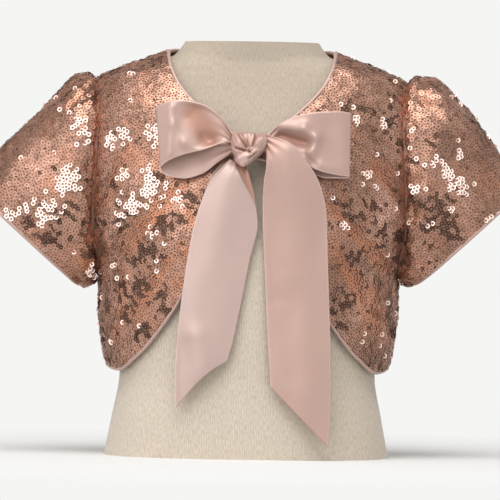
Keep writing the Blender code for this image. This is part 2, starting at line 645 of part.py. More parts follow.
def torso_panels(sequins, satin):
    """Both fronts and the back, and the satin binding round their edges."""
    domain = front_domain()
    for side, word, folds in ((1, "left", LEFT_FRONT_FOLDS), (-1, "right", RIGHT_FRONT_FOLDS)):
        mirror = np.array([side, 1, 1])
        folds = {key: values * (side if key.endswith("_x") else 1) for key, values in folds.items()}
        points, normals = panel_points(domain, folds)
        points, normals = points * mirror, normals * mirror
        wall(f"{word}_front", points, normals, CLOTH, sequins)
        inward = points[:, 1] - points[:, 0]
        neck, away = slice(0, TIE_ROWS[0] + 1), slice(TIE_ROWS[1], None)
        binding(f"{word}_neck_binding", points[neck, 0], normals[neck, 0], inward[neck], satin, (True, False))
        edge = np.concatenate([points[away, 0], points[-1, 1:]])
        lining = np.concatenate([normals[away, 0], normals[-1, 1:]])
        inside = np.concatenate([inward[away], (points[-2] - points[-1])[1:]])
        binding(f"{word}_front_binding", edge, lining, inside, satin, (False, True))
    points, normals = panel_points(back_domain(), BACK_FOLDS)
    wall("back", points, normals, CLOTH, sequins)
    down = points[1] - points[0]
    binding("back_neck_binding", points[0], normals[0], down, satin, (True, True))
    binding("back_hem_binding", points[-1], normals[-1], points[-2] - points[-1], satin, (True, True))


def sleeves(sequins, satin):
    """Both sleeves, each a tube from the armhole to its hem, and the satin binding round each hem."""
    for side, word, rows in ((1, "left", LEFT_SLEEVE), (-1, "right", RIGHT_SLEEVE)):
        points = sleeve_points(rows, side)
        normals = -side * grid_normals(points, wrap_columns=True)
        points = gathered(points, normals)
        normals[0, :, 0] = side * np.minimum(0, side * normals[0, :, 0])
        normals = unit(normals)
        wall(f"{word}_sleeve", points, normals, CLOTH, sequins, wrap_columns=True)
        inward = points[-2] - points[-1]
        binding(f"{word}_sleeve_binding", points[-1], normals[-1], inward, satin, closed=True)


def bow(satin):
    """The ribbon bow: two loops, two tails and the knot that holds them."""
    strip("right_loop", RIGHT_LOOP, LOOP_GRID, satin, -1)
    strip("left_loop", LEFT_LOOP, LOOP_GRID, satin)
    strip("right_tail", RIGHT_TAIL, TAIL_GRID, satin)
    strip("left_tail", LEFT_TAIL, TAIL_GRID, satin)
    knot("knot", satin)


def main():
    for obj in list(bpy.data.objects):
        bpy.data.objects.remove(obj)
    sequins = material("rose_sequins", SEQUIN_FINISH)
    satin = material("blush_satin", SATIN_FINISH)
    linen = material("ecru_linen", FORM_FINISH)
    dress_form(linen)
    torso_panels(sequins, satin)
    sleeves(sequins, satin)
    bow(satin)


main()
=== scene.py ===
"""A child's sequinned shrug with a ribbon bow, dressed on a tabletop form and set up for a studio picture.

Metres, +Z up, the front faces -Y and the wearer's left side is at +X. Each piece is a surface worked out from
the sizes and the short tables below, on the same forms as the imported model.
"""

import bmesh
import bpy
import numpy as np
from bpy.props import FloatProperty, FloatVectorProperty, PointerProperty
from mathutils import Euler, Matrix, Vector, kdtree


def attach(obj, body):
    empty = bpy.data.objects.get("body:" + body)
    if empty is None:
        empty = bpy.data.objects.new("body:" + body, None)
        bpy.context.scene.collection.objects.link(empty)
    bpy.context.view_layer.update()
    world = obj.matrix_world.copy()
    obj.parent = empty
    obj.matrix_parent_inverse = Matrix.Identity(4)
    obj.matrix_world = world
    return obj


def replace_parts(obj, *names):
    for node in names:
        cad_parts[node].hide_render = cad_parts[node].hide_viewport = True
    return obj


bl_info = {
    "name": "Sequinned Shrug",
    "version": (1, 0, 0),
    "blender": (4, 5, 0),
    "location": "View3D > Sidebar > Shrug",
    "description": "Builds a sequinned shrug with a ribbon bow on a dress form",
    "category": "Object",
}

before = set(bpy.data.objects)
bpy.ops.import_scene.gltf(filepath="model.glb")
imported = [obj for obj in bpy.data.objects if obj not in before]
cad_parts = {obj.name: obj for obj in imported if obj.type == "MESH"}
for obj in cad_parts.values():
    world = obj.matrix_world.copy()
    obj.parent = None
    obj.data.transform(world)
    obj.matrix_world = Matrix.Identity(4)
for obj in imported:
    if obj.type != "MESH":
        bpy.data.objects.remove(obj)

MM = 0.001
CLOTH = 0.0020
SEAM = 0.0004
BINDING_WIDTH = 0.0030
BINDING_PROUD = 0.0004
# Where a binding starts on the satin's pattern, how much of it goes round, and how much painted shade darkens
# it
BINDING_PATTERN = (0.012, 0.009)
BINDING_PAINTED_SHADE = 0.35
# The net's depth under the sequins, and its allowance beyond the seams, which tucks in under the cloth
NET_SINK = 0.0006
ALLOWANCE = 0.0030
PANEL_TUCK = 0.0012
SLEEVE_TUCK = 0.0010
# Sequins keep this far from a seam, and carry a painted copper shade this near to it
RING_CLEARANCE = 0.0006
SEAM_SHADE = 0.0036
# Random places tried for each square of the sequins' spacing, and the random seeds of the first panel and the
# first sleeve; each next one is 10 further on
TRIES = 7
PANEL_SEED = 100
SLEEVE_SEED = 200
# Gathers at the sleeve head: waves to a full turn, depth, reach round the head and share of the length
PUFF_WAVES = 11.2
PUFF_DEPTH = 0.0022
PUFF_SPREAD = 0.75
PUFF_LENGTH = 0.6
# Folds fade in over this share of a panel from each edge. A sleeve's rings of points crowd towards the
# armhole by this power, and the armhole's shape gives way to the hem's oval over this share.
FOLD_FADE = 0.16
SLEEVE_CROWDING = 1.15
ARMHOLE_SHARE = 0.35
# Where the shrug's corners lie
ARMPIT_HEIGHT = 0.1424
SHOULDER_TIP_HEIGHT = 0.3030
NECK_POINT_HEIGHT = 0.3262
SIDE_HEM_HEIGHT = 0.0755
BACK_HEM_HEIGHT = 0.0790
TIE_X = 0.0035
TIE_TOP = 0.2505
TIE_BOTTOM = 0.2425
# The panels' grids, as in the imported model, and the rows at which their edges turn a corner
FRONT_GRID = (24, 15)
TIE_ROWS = (9, 11)
ARMPIT_ROW = 20
BACK_GRID = (24, 21)
BACK_TIP_ROW = 5
BACK_ARMPIT_ROW = 17
ARMHOLE_FORWARD = 0.0450
ARMHOLE_REARWARD = 0.0480
ARMHOLE_FULLNESS = 0.9
SLEEVE_HEM_FULLNESS = 0.85
# Steps here for each step of those grids, and the grids of the other pieces
FINER = 5
SLEEVE_FINE = (46, 144)
FORM_FINE = (120, 128)
STRIP_FINE = (130, 40)
BINDING_SIDES = 12
RING_SIDES = 10
KNOT_FINE = (64, 160)
# How much of the linen's pattern goes round the form, and the angle in degrees past which its edges are sharp
FORM_GIRTH = 0.66
SHARP = 50
# Relief of the sewn cloth: slow waves and puckers as (depth, length), the groove where a seam pulls in as
# (depth, width), and the band of puckers beside it as (distance from the seam, width)
PANEL_RELIEF = {
    "waves": (0.0007, 0.022),
    "groove": (0.0014, 0.0035),
    "puckers": (0.0007, 0.009),
    "band": (0.007, 0.005),
}
SLEEVE_RELIEF = {
    "waves": (0.0009, 0.030),
    "groove": (0.0012, 0.0030),
    "puckers": (0.0009, 0.010),
    "band": (0.008, 0.006),
}
# A sequin that faces this way sends the key light to the camera
GLINT = (-0.306, -0.941, 0.145)
# Where the ribbon's middle lies in its UV map, and how far from it the woven edges start
RIBBON_MIDDLE = 0.025
SELVEDGE = 0.024
# Colours of the backdrop, the room's light, the ribbon's woven edges and the painted shade at the form's neck
BLACK = (0.0, 0.0, 0.0)
BACKDROP = (0.91, 0.91, 0.90)
ROOM = (1.0, 0.98, 0.95)
SELVEDGE_TINT = (0.85, 0.66, 0.60)
NECK_SHADE = (0.66, 0.635, 0.60)
# The camera's aim, and the lamps: name, place, size, the setting that gives the power and the share of it
AIM = (0.0008, -0.05, 0.1664)
LAMPS = (
    ("key_light", (-1.9, -2.5, 1.1), 2.2, "key", 1.0),
    ("fill_light", (1.9, -2.2, 0.9), 2.0, "fill", 1.0),
    ("front_light", (0.0, -3.6, 0.2), 2.8, "front", 1.0),
    ("right_light", (-2.4, -0.1, 0.5), 1.6, "sides", 1.0),
    ("left_light", (2.4, -0.1, 0.5), 1.6, "sides", 0.7),
    ("top_light", (-0.15, -1.2, 2.6), 2.2, "top", 1.0),
    ("back_light", (0.6, 2.4, 1.4), 2.0, "fill", 0.3),
)


def table(columns, *rows):
    """A table's columns by name, each an array with one value a row."""
    return dict(zip(columns.split(), np.array(rows, float).T))


SECTION = "height half_width front back roundness"
FORM = table(
    SECTION,
    (0.0000, 0.1148, 0.0900, 0.0880, 2.50),
    (0.0300, 0.1090, 0.0890, 0.0835, 2.50),
    (0.0660, 0.1030, 0.0880, 0.0778, 2.38),
    (0.1000, 0.1040, 0.0885, 0.0778, 2.35),
    (0.1400, 0.1085, 0.0890, 0.0802, 2.30),
    (0.1800, 0.1120, 0.0885, 0.0832, 2.25),
    (0.2200, 0.1140, 0.0818, 0.0838, 2.22),
    (0.2500, 0.1145, 0.0712, 0.0790, 2.20),
    (0.2800, 0.1145, 0.0580, 0.0680, 2.20),
    (0.2985, 0.1125, 0.0490, 0.0585, 2.20),
    (0.3065, 0.1075, 0.0450, 0.0545, 2.20),
    (0.3112, 0.1000, 0.0428, 0.0520, 2.20),
    (0.3152, 0.0900, 0.0410, 0.0505, 2.20),
    (0.3180, 0.0780, 0.0400, 0.0495, 2.20),
    (0.3220, 0.0637, 0.0395, 0.0490, 2.20),
    (0.3280, 0.0578, 0.0388, 0.0485, 2.20),
    (0.3336, 0.0540, 0.0382, 0.0480, 2.20),
)
SHRUG = table(
    SECTION,
    (0.0500, 0.1080, 0.0925, 0.0850, 2.05),
    (0.0776, 0.1155, 0.0940, 0.0862, 2.05),
    (0.0960, 0.1190, 0.0945, 0.0866, 2.08),
    (0.1160, 0.1210, 0.0955, 0.0872, 2.10),
    (0.1424, 0.1213, 0.0965, 0.0885, 2.15),
    (0.1800, 0.1330, 0.0970, 0.0900, 2.20),
    (0.2200, 0.1390, 0.0900, 0.0910, 2.20),
    (0.2500, 0.1400, 0.0800, 0.0870, 2.20),
    (0.2750, 0.1370, 0.0690, 0.0790, 2.20),
    (0.2920, 0.1320, 0.0605, 0.0700, 2.20),
    (0.3030, 0.1260, 0.0545, 0.0635, 2.20),
    (0.3085, 0.1150, 0.0520, 0.0605, 2.20),
    (0.3145, 0.1000, 0.0495, 0.0580, 2.20),
    (0.3205, 0.0840, 0.0470, 0.0560, 2.20),
    (0.3262, 0.0695, 0.0450, 0.0545, 2.20),
    (0.3330, 0.0540, 0.0430, 0.0530, 2.20),
)
# How far round the armhole some rows of the front end, as a turn from the shoulder tip
FRONT_ROW_ENDS = table("row turn", (0, 0.0), (TIE_ROWS[0], 1.00), (TIE_ROWS[1], 1.27), (ARMPIT_ROW, np.pi))
NECKLINE = table(
    "x height",
    (0.0696, 0.3252),
    (0.0692, 0.3220),
    (0.0683, 0.3180),
    (0.0652, 0.3080),
    (0.0590, 0.2960),
    (0.0480, 0.2835),
    (0.0350, 0.2715),
    (0.0180, 0.2590),
    (TIE_X, TIE_TOP),
)
CUTAWAY = table(
    "x height",
    (TIE_X, TIE_BOTTOM),
    (0.0165, 0.2395),
    (0.0262, 0.2335),
    (0.0325, 0.2245),
    (0.0368, 0.2130),
    (0.0405, 0.1960),
    (0.0450, 0.1660),
    (0.0542, 0.1320),
    (0.0615, 0.1190),
    (0.0702, 0.1060),
    (0.0850, 0.0870),
    (0.0945, 0.0778),
)
FRONT_HEM = table("x height", (0.0945, 0.0778), (0.0990, 0.0736), (0.1040, 0.0710), (0.1090, 0.0716))
BACK_NECKLINE = table(
    "x height",
    (0.0690, 0.3258),
    (0.0665, 0.3266),
    (0.0620, 0.3268),
    (0.0540, 0.3262),
    (0.0380, 0.3246),
    (0.0180, 0.3232),
    (0.0000, 0.3228),
)
# Folds, seen from the front: from one point to another, so wide and so deep. A ridge is negative, and lean
# makes one side steeper, as where one layer of cloth lies on the next
FOLD = "from_x from_z to_x to_z width depth lean"
LEFT_FRONT_FOLDS = table(
    FOLD,
    (0.0990, 0.2330, 0.1190, 0.2130, 0.0065, 0.0035, 0),
    (0.0640, 0.2050, 0.1080, 0.1560, 0.0080, 0.0035, 0),
    (0.0700, 0.1650, 0.0980, 0.1180, 0.0085, 0.0028, 0),
    (0.0560, 0.2250, 0.0960, 0.1880, 0.0090, -0.0022, 0),
    (0.1020, 0.1360, 0.1060, 0.0900, 0.0080, 0.0018, 0),
    (0.0780, 0.2520, 0.1060, 0.2400, 0.0050, 0.0012, 0),
    (0.0860, 0.1500, 0.0960, 0.1000, 0.0040, 0.0010, 0),
)
RIGHT_FRONT_FOLDS = table(
    FOLD,
    (-0.0560, 0.2180, -0.0980, 0.1660, 0.0075, 0.0040, 0),
    (-0.0640, 0.1600, -0.0880, 0.1150, 0.0080, 0.0030, 0),
    (-0.0500, 0.1980, -0.0840, 0.1480, 0.0085, -0.0024, 0),
    (-0.0960, 0.2440, -0.1160, 0.2050, 0.0075, 0.0028, 0),
    (-0.1000, 0.1420, -0.1050, 0.0920, 0.0080, 0.0020, 0),
    (-0.0800, 0.2100, -0.1060, 0.1760, 0.0045, 0.0012, 0),
)
BACK_FOLDS = table(
    FOLD,
    (-0.0600, 0.2500, -0.1060, 0.1850, 0.0100, 0.0035, 0),
    (0.0620, 0.2480, 0.1070, 0.1800, 0.0100, 0.0035, 0),
    (-0.0420, 0.1700, -0.0560, 0.0950, 0.0110, 0.0024, 0),
    (0.0300, 0.1800, 0.0460, 0.0900, 0.0110, 0.0026, 0),
    (0.0020, 0.2300, -0.0040, 0.1500, 0.0120, 0.0018, 0),
)
SLEEVE = "share top_x top_z bottom_x bottom_z forward rearward"
LEFT_SLEEVE = table(
    SLEEVE,
    (0.00, 0.1260, 0.3030, 0.1213, 0.1424, ARMHOLE_FORWARD, ARMHOLE_REARWARD),
    (0.06, 0.1315, 0.3072, 0.1222, 0.1415, 0.0475, 0.0500),
    (0.20, 0.1440, 0.3065, 0.1240, 0.1408, 0.0500, 0.0530),
    (0.38, 0.1570, 0.2995, 0.1264, 0.1402, 0.0515, 0.0535),
    (0.60, 0.1755, 0.2802, 0.1290, 0.1400, 0.0490, 0.0500),
    (0.82, 0.1985, 0.2490, 0.1315, 0.1398, 0.0440, 0.0450),
    (1.00, 0.2180, 0.2185, 0.1340, 0.1400, 0.0400, 0.0410),
)
RIGHT_SLEEVE = table(
    SLEEVE,
    (0.00, -0.1260, 0.3030, -0.1213, 0.1424, ARMHOLE_FORWARD, ARMHOLE_REARWARD),
    (0.06, -0.1305, 0.3062, -0.1225, 0.1410, 0.0475, 0.0500),
    (0.20, -0.1400, 0.3035, -0.1246, 0.1390, 0.0500, 0.0530),
    (0.38, -0.1565, 0.2890, -0.1276, 0.1376, 0.0510, 0.0530),
    (0.60, -0.1790, 0.2664, -0.1306, 0.1364, 0.0485, 0.0500),
    (0.82, -0.2045, 0.2425, -0.1330, 0.1358, 0.0440, 0.0450),
    (1.00, -0.2270, 0.2192, -0.1350, 0.1354, 0.0400, 0.0410),
)
LEFT_SLEEVE_FOLDS = table(
    FOLD,
    (0.1300, 0.3000, 0.1420, 0.2840, 0.0028, 0.0020, 0.6),
    (0.1370, 0.3020, 0.1500, 0.2800, 0.0035, 0.0014, 0.5),
    (0.1260, 0.2050, 0.1480, 0.1900, 0.0060, 0.0020, 0),
    (0.1240, 0.1650, 0.1420, 0.1560, 0.0060, 0.0018, 0),
)
RIGHT_SLEEVE_FOLDS = table(
    FOLD,
    (-0.1300, 0.2960, -0.1450, 0.2780, 0.0028, 0.0018, 0.6),
    (-0.1360, 0.2960, -0.1540, 0.2740, 0.0035, 0.0012, 0.5),
    (-0.1240, 0.1750, -0.1450, 0.1620, 0.0060, 0.0018, 0),
)
# Pleats near the knot: waves across the ribbon, how far they are shifted, how far along they fade, and
# how deep they are on loops and tails
PLEATS = 3.2
PLEAT_SHIFT = 0.15
PLEAT_FADE = 0.11
LOOP_PLEAT = 0.0008
TAIL_PLEAT = 0.0005
# Where along a loop it turns back, and how deep, wide and high a tail's edge turns under
LOOP_TURN = (0.42, 0.52)
TURN_DEPTH = 0.0016
TURN_WIDTH = 0.0016
TURN_HEIGHT = 0.006
# Ribbon strips in millimetres: where edges a and b run, and the swell between them
STRIP = "share a_x a_z a_forward b_x b_z b_forward swell"
RIGHT_TAIL = table(
    STRIP,
    (0.00, -16.4, 238.5, 91.5, -3.0, 232.8, 93.0, 0.5),
    (0.08, -22.5, 232.5, 93.8, -1.5, 228.5, 95.5, 2.5),
    (0.16, -29.9, 224.0, 94.8, 0.8, 220.5, 96.5, 3.5),
    (0.27, -38.0, 206.0, 95.4, 5.0, 203.0, 95.5, 3.5),
    (0.38, -44.0, 186.0, 95.8, 6.8, 186.0, 94.5, 3.2),
    (0.50, -48.8, 159.0, 95.8, 1.2, 160.0, 94.0, 3.0),
    (0.64, -53.0, 127.0, 95.4, -5.0, 127.5, 94.0, 3.2),
    (0.80, -56.3, 92.0, 94.8, -11.2, 96.0, 94.5, 3.5),
    (0.92, -57.6, 60.0, 94.6, -14.2, 84.5, 95.0, 3.2),
    (1.00, -56.4, 39.5, 94.6, -16.0, 78.5, 95.0, 2.0),
)
LEFT_TAIL = table(
    STRIP,
    (0.00, 12.1, 246.8, 98.2, 12.4, 258.5, 96.6, 0.3),
    (0.08, 12.6, 234.5, 101.5, 31.5, 252.0, 100.5, 2.0),
    (0.16, 11.0, 222.5, 99.5, 44.0, 238.5, 100.8, 3.0),
    (0.27, 10.2, 205.0, 96.5, 55.5, 219.5, 98.8, 3.5),
    (0.38, 10.6, 186.0, 94.8, 61.0, 197.0, 96.8, 3.0),
    (0.50, 12.0, 160.0, 94.0, 62.5, 164.0, 95.8, 2.5),
    (0.64, 13.8, 127.0, 94.0, 64.2, 127.0, 95.2, 2.5),
    (0.80, 16.0, 92.0, 94.5, 66.0, 84.0, 94.6, 3.0),
    (0.92, 17.8, 70.0, 95.0, 66.6, 42.0, 94.6, 3.0),
    (1.00, 18.6, 58.5, 95.0, 65.2, 10.5, 94.6, 1.5),
)
RIGHT_LOOP = table(
    STRIP,
    (0.00, -15.0, 251.6, 95.5, -15.0, 258.0, 94.5, 0.5),
    (0.12, -24.0, 250.6, 98.5, -24.0, 271.5, 96.5, 1.5),
    (0.24, -38.5, 245.4, 99.0, -39.0, 281.8, 96.5, 1.5),
    (0.36, -54.0, 241.2, 97.5, -55.5, 284.8, 93.5, 1.5),
    (0.46, -67.0, 235.2, 94.0, -69.5, 282.5, 87.5, 1.0),
    (0.52, -71.5, 230.6, 90.5, -76.0, 278.5, 81.0, 0.5),
    (0.58, -68.0, 225.5, 88.5, -73.0, 276.5, 76.0, 0.0),
    (0.70, -53.0, 222.5, 88.8, -57.0, 276.0, 75.5, 0.0),
    (0.82, -38.0, 226.5, 90.0, -39.0, 273.0, 79.0, 0.0),
    (0.92, -25.0, 236.5, 90.0, -25.0, 265.5, 84.0, 0.0),
    (1.00, -14.6, 244.0, 91.2, -14.6, 254.0, 90.4, 0.0),
)
LEFT_LOOP = table(
    STRIP,
    (0.00, 12.7, 245.5, 94.0, 12.7, 256.0, 92.5, 0.5),
    (0.12, 24.0, 245.0, 96.8, 24.0, 268.0, 94.5, 1.0),
    (0.24, 38.0, 238.5, 97.8, 39.0, 274.5, 94.5, 1.0),
    (0.36, 54.0, 230.5, 97.0, 56.0, 277.4, 91.5, 1.0),
    (0.46, 70.0, 227.0, 93.5, 72.0, 278.0, 86.0, 1.0),
    (0.52, 79.0, 226.0, 88.5, 79.6, 276.0, 80.0, 0.5),
    (0.58, 75.0, 224.5, 87.0, 76.0, 273.5, 75.0, 0.0),
    (0.70, 60.0, 224.5, 88.2, 61.0, 271.5, 75.0, 0.0),
    (0.82, 42.0, 231.5, 88.8, 43.0, 268.5, 78.5, 0.0),
    (0.92, 26.0, 240.5, 88.5, 26.0, 263.5, 83.5, 0.0),
    (1.00, 12.7, 244.5, 89.5, 12.7, 254.5, 88.0, 0.0),
)
# The ribbon's own folds, on the layer that faces forward
RIGHT_LOOP_FOLDS = table(
    FOLD,
    (-0.0450, 0.2730, -0.0330, 0.2560, 0.0130, 0.0068, 0),
    (-0.0370, 0.2560, -0.0320, 0.2530, 0.0040, 0.0022, 0),
    (-0.0655, 0.2830, -0.0650, 0.2340, 0.0050, -0.0024, 0),
    (-0.0600, 0.2790, -0.0600, 0.2660, 0.0050, -0.0012, 0.4),
    (-0.0600, 0.2660, -0.0520, 0.2520, 0.0050, -0.0013, 0.4),
    (-0.0520, 0.2520, -0.0400, 0.2455, 0.0045, -0.0014, 0.4),
    (-0.0400, 0.2455, -0.0200, 0.2540, 0.0035, -0.0010, 0.4),
)
LEFT_LOOP_FOLDS = table(
    FOLD,
    (0.0240, 0.2575, 0.0440, 0.2520, 0.0055, 0.0062, 0),
    (0.0250, 0.2655, 0.0420, 0.2640, 0.0044, -0.0018, 0),
    (0.0420, 0.2640, 0.0520, 0.2570, 0.0048, -0.0028, 0),
    (0.0520, 0.2570, 0.0485, 0.2470, 0.0048, -0.0028, 0),
    (0.0485, 0.2470, 0.0430, 0.2410, 0.0044, -0.0018, 0),
    (0.0430, 0.2435, 0.0510, 0.2360, 0.0032, 0.0020, 0.3),
    (0.0560, 0.2350, 0.0720, 0.2290, 0.0052, -0.0020, 0),
    (0.0600, 0.2620, 0.0700, 0.2420, 0.0100, 0.0018, 0),
)
RIGHT_TAIL_FOLDS = table(
    FOLD,
    (-0.0180, 0.2250, -0.0420, 0.1000, 0.0120, -0.0013, 0),
    (-0.0390, 0.0980, -0.0340, 0.0640, 0.0090, -0.0022, 0),
    (-0.0530, 0.0900, -0.0500, 0.0420, 0.0090, 0.0018, 0),
)
# Where the tail's inner edge turns under below the knot
RIGHT_TAIL_TURN = table("height x", (0.1980, 0.0062), (0.2104, 0.0000), (0.2224, -0.0066), (0.2344, -0.0124))
LEFT_TAIL_FOLDS = table(
    FOLD,
    (0.0190, 0.2480, 0.0230, 0.1300, 0.0080, 0.0012, 0),
    (0.0300, 0.2420, 0.0400, 0.1500, 0.0140, -0.0012, 0),
    (0.0300, 0.1500, 0.0340, 0.0700, 0.0120, 0.0010, 0),
)
KNOT_CENTRE = (-0.0013, -0.0941, 0.2472)
KNOT_DEPTH = 0.0112
KNOT_RADIUS = 0.0138
KNOT_SQUARENESS = 0.62
KNOT_BLUNTNESS = 0.85
# Fine creases over the knot as depth and radians per metre across and up, and slow waves as depth and length
KNOT_CREASES = (0.00014, 2200, 700)
KNOT_WAVES = (0.0008, 0.012)
# The knot's reach in millimetres at each angle in degrees, anticlockwise from +X seen from the front
KNOT_OUTLINE = table(
    "angle reach",
    (0, 12.9),
    (20, 15.6),
    (39, 17.4),
    (60, 14.2),
    (86, 12.4),
    (118, 15.2),
    (131, 17.9),
    (153, 15.9),
    (177, 14.4),
    (205, 13.4),
    (227, 14.9),
    (249, 15.3),
    (263, 13.7),
    (278, 11.6),
    (308, 9.8),
    (339, 11.2),
    (360, 12.9),
)
KNOT_FOLDS = table(
    FOLD,
    (-0.0118, 0.2610, -0.0008, 0.2445, 0.0010, 0.0026, 0.5),
    (-0.0075, 0.2600, -0.0025, 0.2480, 0.0008, 0.0016, 0.4),
    (0.0050, 0.2600, 0.0020, 0.2490, 0.0010, 0.0028, 0.3),
    (-0.0030, 0.2540, 0.0000, 0.2445, 0.0007, 0.0016, 0),
    (0.0040, 0.2490, 0.0000, 0.2440, 0.0007, 0.0014, 0),
    (-0.0125, 0.2480, -0.0005, 0.2440, 0.0010, 0.0032, 0.5),
    (0.0050, 0.2435, -0.0005, 0.2395, 0.0011, 0.0036, 0),
    (0.0080, 0.2400, 0.0040, 0.2370, 0.0009, 0.0018, 0),
    (-0.0100, 0.2390, -0.0010, 0.2425, 0.0016, -0.0012, 0),
    (0.0125, 0.2560, 0.0100, 0.2470, 0.0012, -0.0010, 0),
)
# Sequins' tones, from 0, dark, to 1, light: most of them, those with painted shade as if turned away, those
# painted pale as glints, and the inner part of each kind, which carries painted shade
TONE = 0.56
DARK_TONES = (0.0, 0.04)
PALE_TONES = (0.95, 1.0)
INNER_SHADE = 0.22
DARK_INNER_TONES = (0.08, 0.24)
PALE_INNER_TONE = 0.40
# A ring with painted shade is also drawn a little smaller, with a wider hole
DARK_REACH = 0.93
DARK_HOLE = 1.45
# Patches of rings with painted glints, with painted shade, or turned copper: middle, radius and share of the
# rings
PATCH = "x z radius share"
PAINTED_GLINT_PATCHES = table(
    PATCH,
    (-0.146, 0.221, 0.013, 0.85),
    (-0.140, 0.264, 0.009, 0.70),
    (-0.131, 0.254, 0.008, 0.50),
    (-0.162, 0.196, 0.014, 0.70),
    (-0.179, 0.194, 0.009, 0.55),
    (-0.194, 0.190, 0.008, 0.60),
    (-0.111, 0.252, 0.009, 0.75),
    (-0.103, 0.258, 0.008, 0.65),
    (-0.079, 0.257, 0.008, 0.70),
    (-0.099, 0.225, 0.006, 0.90),
    (-0.079, 0.220, 0.010, 0.75),
    (-0.079, 0.209, 0.008, 0.70),
    (-0.094, 0.201, 0.010, 0.90),
    (-0.056, 0.206, 0.006, 0.70),
    (-0.077, 0.178, 0.009, 0.45),
    (-0.078, 0.155, 0.007, 0.35),
    (-0.127, 0.147, 0.006, 0.50),
    (0.085, 0.272, 0.004, 0.90),
    (0.105, 0.268, 0.004, 0.80),
    (0.129, 0.264, 0.003, 0.90),
    (0.129, 0.250, 0.003, 0.90),
    (0.130, 0.238, 0.004, 0.90),
    (0.149, 0.240, 0.006, 0.80),
    (0.159, 0.230, 0.007, 0.95),
    (0.167, 0.221, 0.008, 0.90),
    (0.169, 0.246, 0.005, 0.70),
    (0.134, 0.217, 0.005, 0.90),
    (0.093, 0.228, 0.004, 0.90),
    (0.101, 0.218, 0.003, 0.80),
    (0.074, 0.188, 0.003, 0.90),
    (0.159, 0.201, 0.004, 0.90),
    (0.143, 0.189, 0.004, 0.90),
    (0.193, 0.190, 0.007, 0.60),
)
PAINTED_SHADE_PATCHES = table(
    PATCH,
    (0.077, 0.282, 0.006, 0.80),
    (0.088, 0.279, 0.006, 0.80),
    (0.100, 0.277, 0.006, 0.80),
    (0.112, 0.270, 0.006, 0.80),
    (0.120, 0.253, 0.006, 0.80),
    (0.148, 0.257, 0.008, 0.45),
    (0.129, 0.230, 0.004, 0.90),
    (0.129, 0.209, 0.006, 0.80),
    (0.151, 0.204, 0.011, 0.85),
    (0.143, 0.190, 0.010, 0.80),
    (0.161, 0.188, 0.011, 0.90),
    (0.098, 0.201, 0.009, 0.60),
    (0.1215, 0.180, 0.008, 0.85),
    (0.1215, 0.160, 0.008, 0.85),
    (0.104, 0.180, 0.012, 0.60),
    (0.078, 0.196, 0.011, 0.50),
    (0.084, 0.160, 0.013, 0.60),
    (0.078, 0.125, 0.012, 0.65),
    (0.074, 0.110, 0.010, 0.55),
    (-0.128, 0.290, 0.006, 0.50),
    (-0.122, 0.210, 0.006, 0.50),
    (-0.118, 0.185, 0.008, 0.55),
    (-0.128, 0.162, 0.008, 0.85),
    (-0.109, 0.217, 0.006, 0.85),
    (-0.073, 0.224, 0.006, 0.80),
    (-0.048, 0.206, 0.009, 0.85),
    (-0.053, 0.193, 0.007, 0.85),
    (-0.068, 0.186, 0.010, 0.85),
    (-0.103, 0.188, 0.007, 0.85),
    (-0.080, 0.165, 0.010, 0.75),
    (-0.090, 0.156, 0.008, 0.70),
    (-0.087, 0.134, 0.009, 0.90),
    (-0.101, 0.134, 0.007, 0.80),
    (-0.068, 0.129, 0.007, 0.90),
    (-0.093, 0.121, 0.006, 0.85),
    (-0.098, 0.111, 0.006, 0.80),
    (-0.067, 0.118, 0.006, 0.85),
    (-0.082, 0.102, 0.007, 0.90),
    (-0.087, 0.097, 0.006, 0.85),
    (-0.146, 0.195, 0.012, 0.60),
    (-0.160, 0.174, 0.010, 0.85),
    (-0.179, 0.184, 0.007, 0.75),
    (-0.129, 0.217, 0.006, 0.60),
    (-0.134, 0.283, 0.006, 0.50),
    (-0.157, 0.232, 0.004, 0.60),
)
COPPER_PATCHES = table(
    PATCH,
    (-0.129, 0.155, 0.013, 0.85),
    (-0.046, 0.192, 0.008, 0.75),
    (-0.051, 0.166, 0.008, 0.70),
    (-0.057, 0.140, 0.007, 0.60),
    (-0.066, 0.236, 0.009, 0.55),
    (-0.088, 0.236, 0.010, 0.45),
    (-0.124, 0.262, 0.006, 0.50),
    (0.110, 0.230, 0.007, 0.75),
    (0.068, 0.170, 0.007, 0.60),
    (0.127, 0.150, 0.009, 0.60),
    (0.190, 0.222, 0.010, 0.45),
)


def length(name, description, default, low, high):
    """A length setting for the sidebar, in metres."""
    return FloatProperty(name=name, description=description, default=default, min=low, max=high,
                         unit="LENGTH")


def slope(name, description, default):
    """A setting from 0 to 1 for the sidebar."""
    return FloatProperty(name=name, description=description, default=default, min=0, max=1)


def tilt(name, description, degrees, limit):
    """An angle setting for the sidebar: its default in degrees, and its limit either way in radians."""
    return FloatProperty(name=name, description=description, default=np.radians(degrees), min=-limit,
                         max=limit, unit="ROTATION")


def watts(name, lamp, default):
    """A lamp's power for the sidebar."""
    return FloatProperty(name=name, description=f"{lamp}'s power in watts", default=default, min=0, max=1000)


def colour(name, description, default):
    """A colour setting for the sidebar."""
    return FloatVectorProperty(name=name, description=description, default=default, size=3, min=0, max=1,
                               subtype="COLOR")


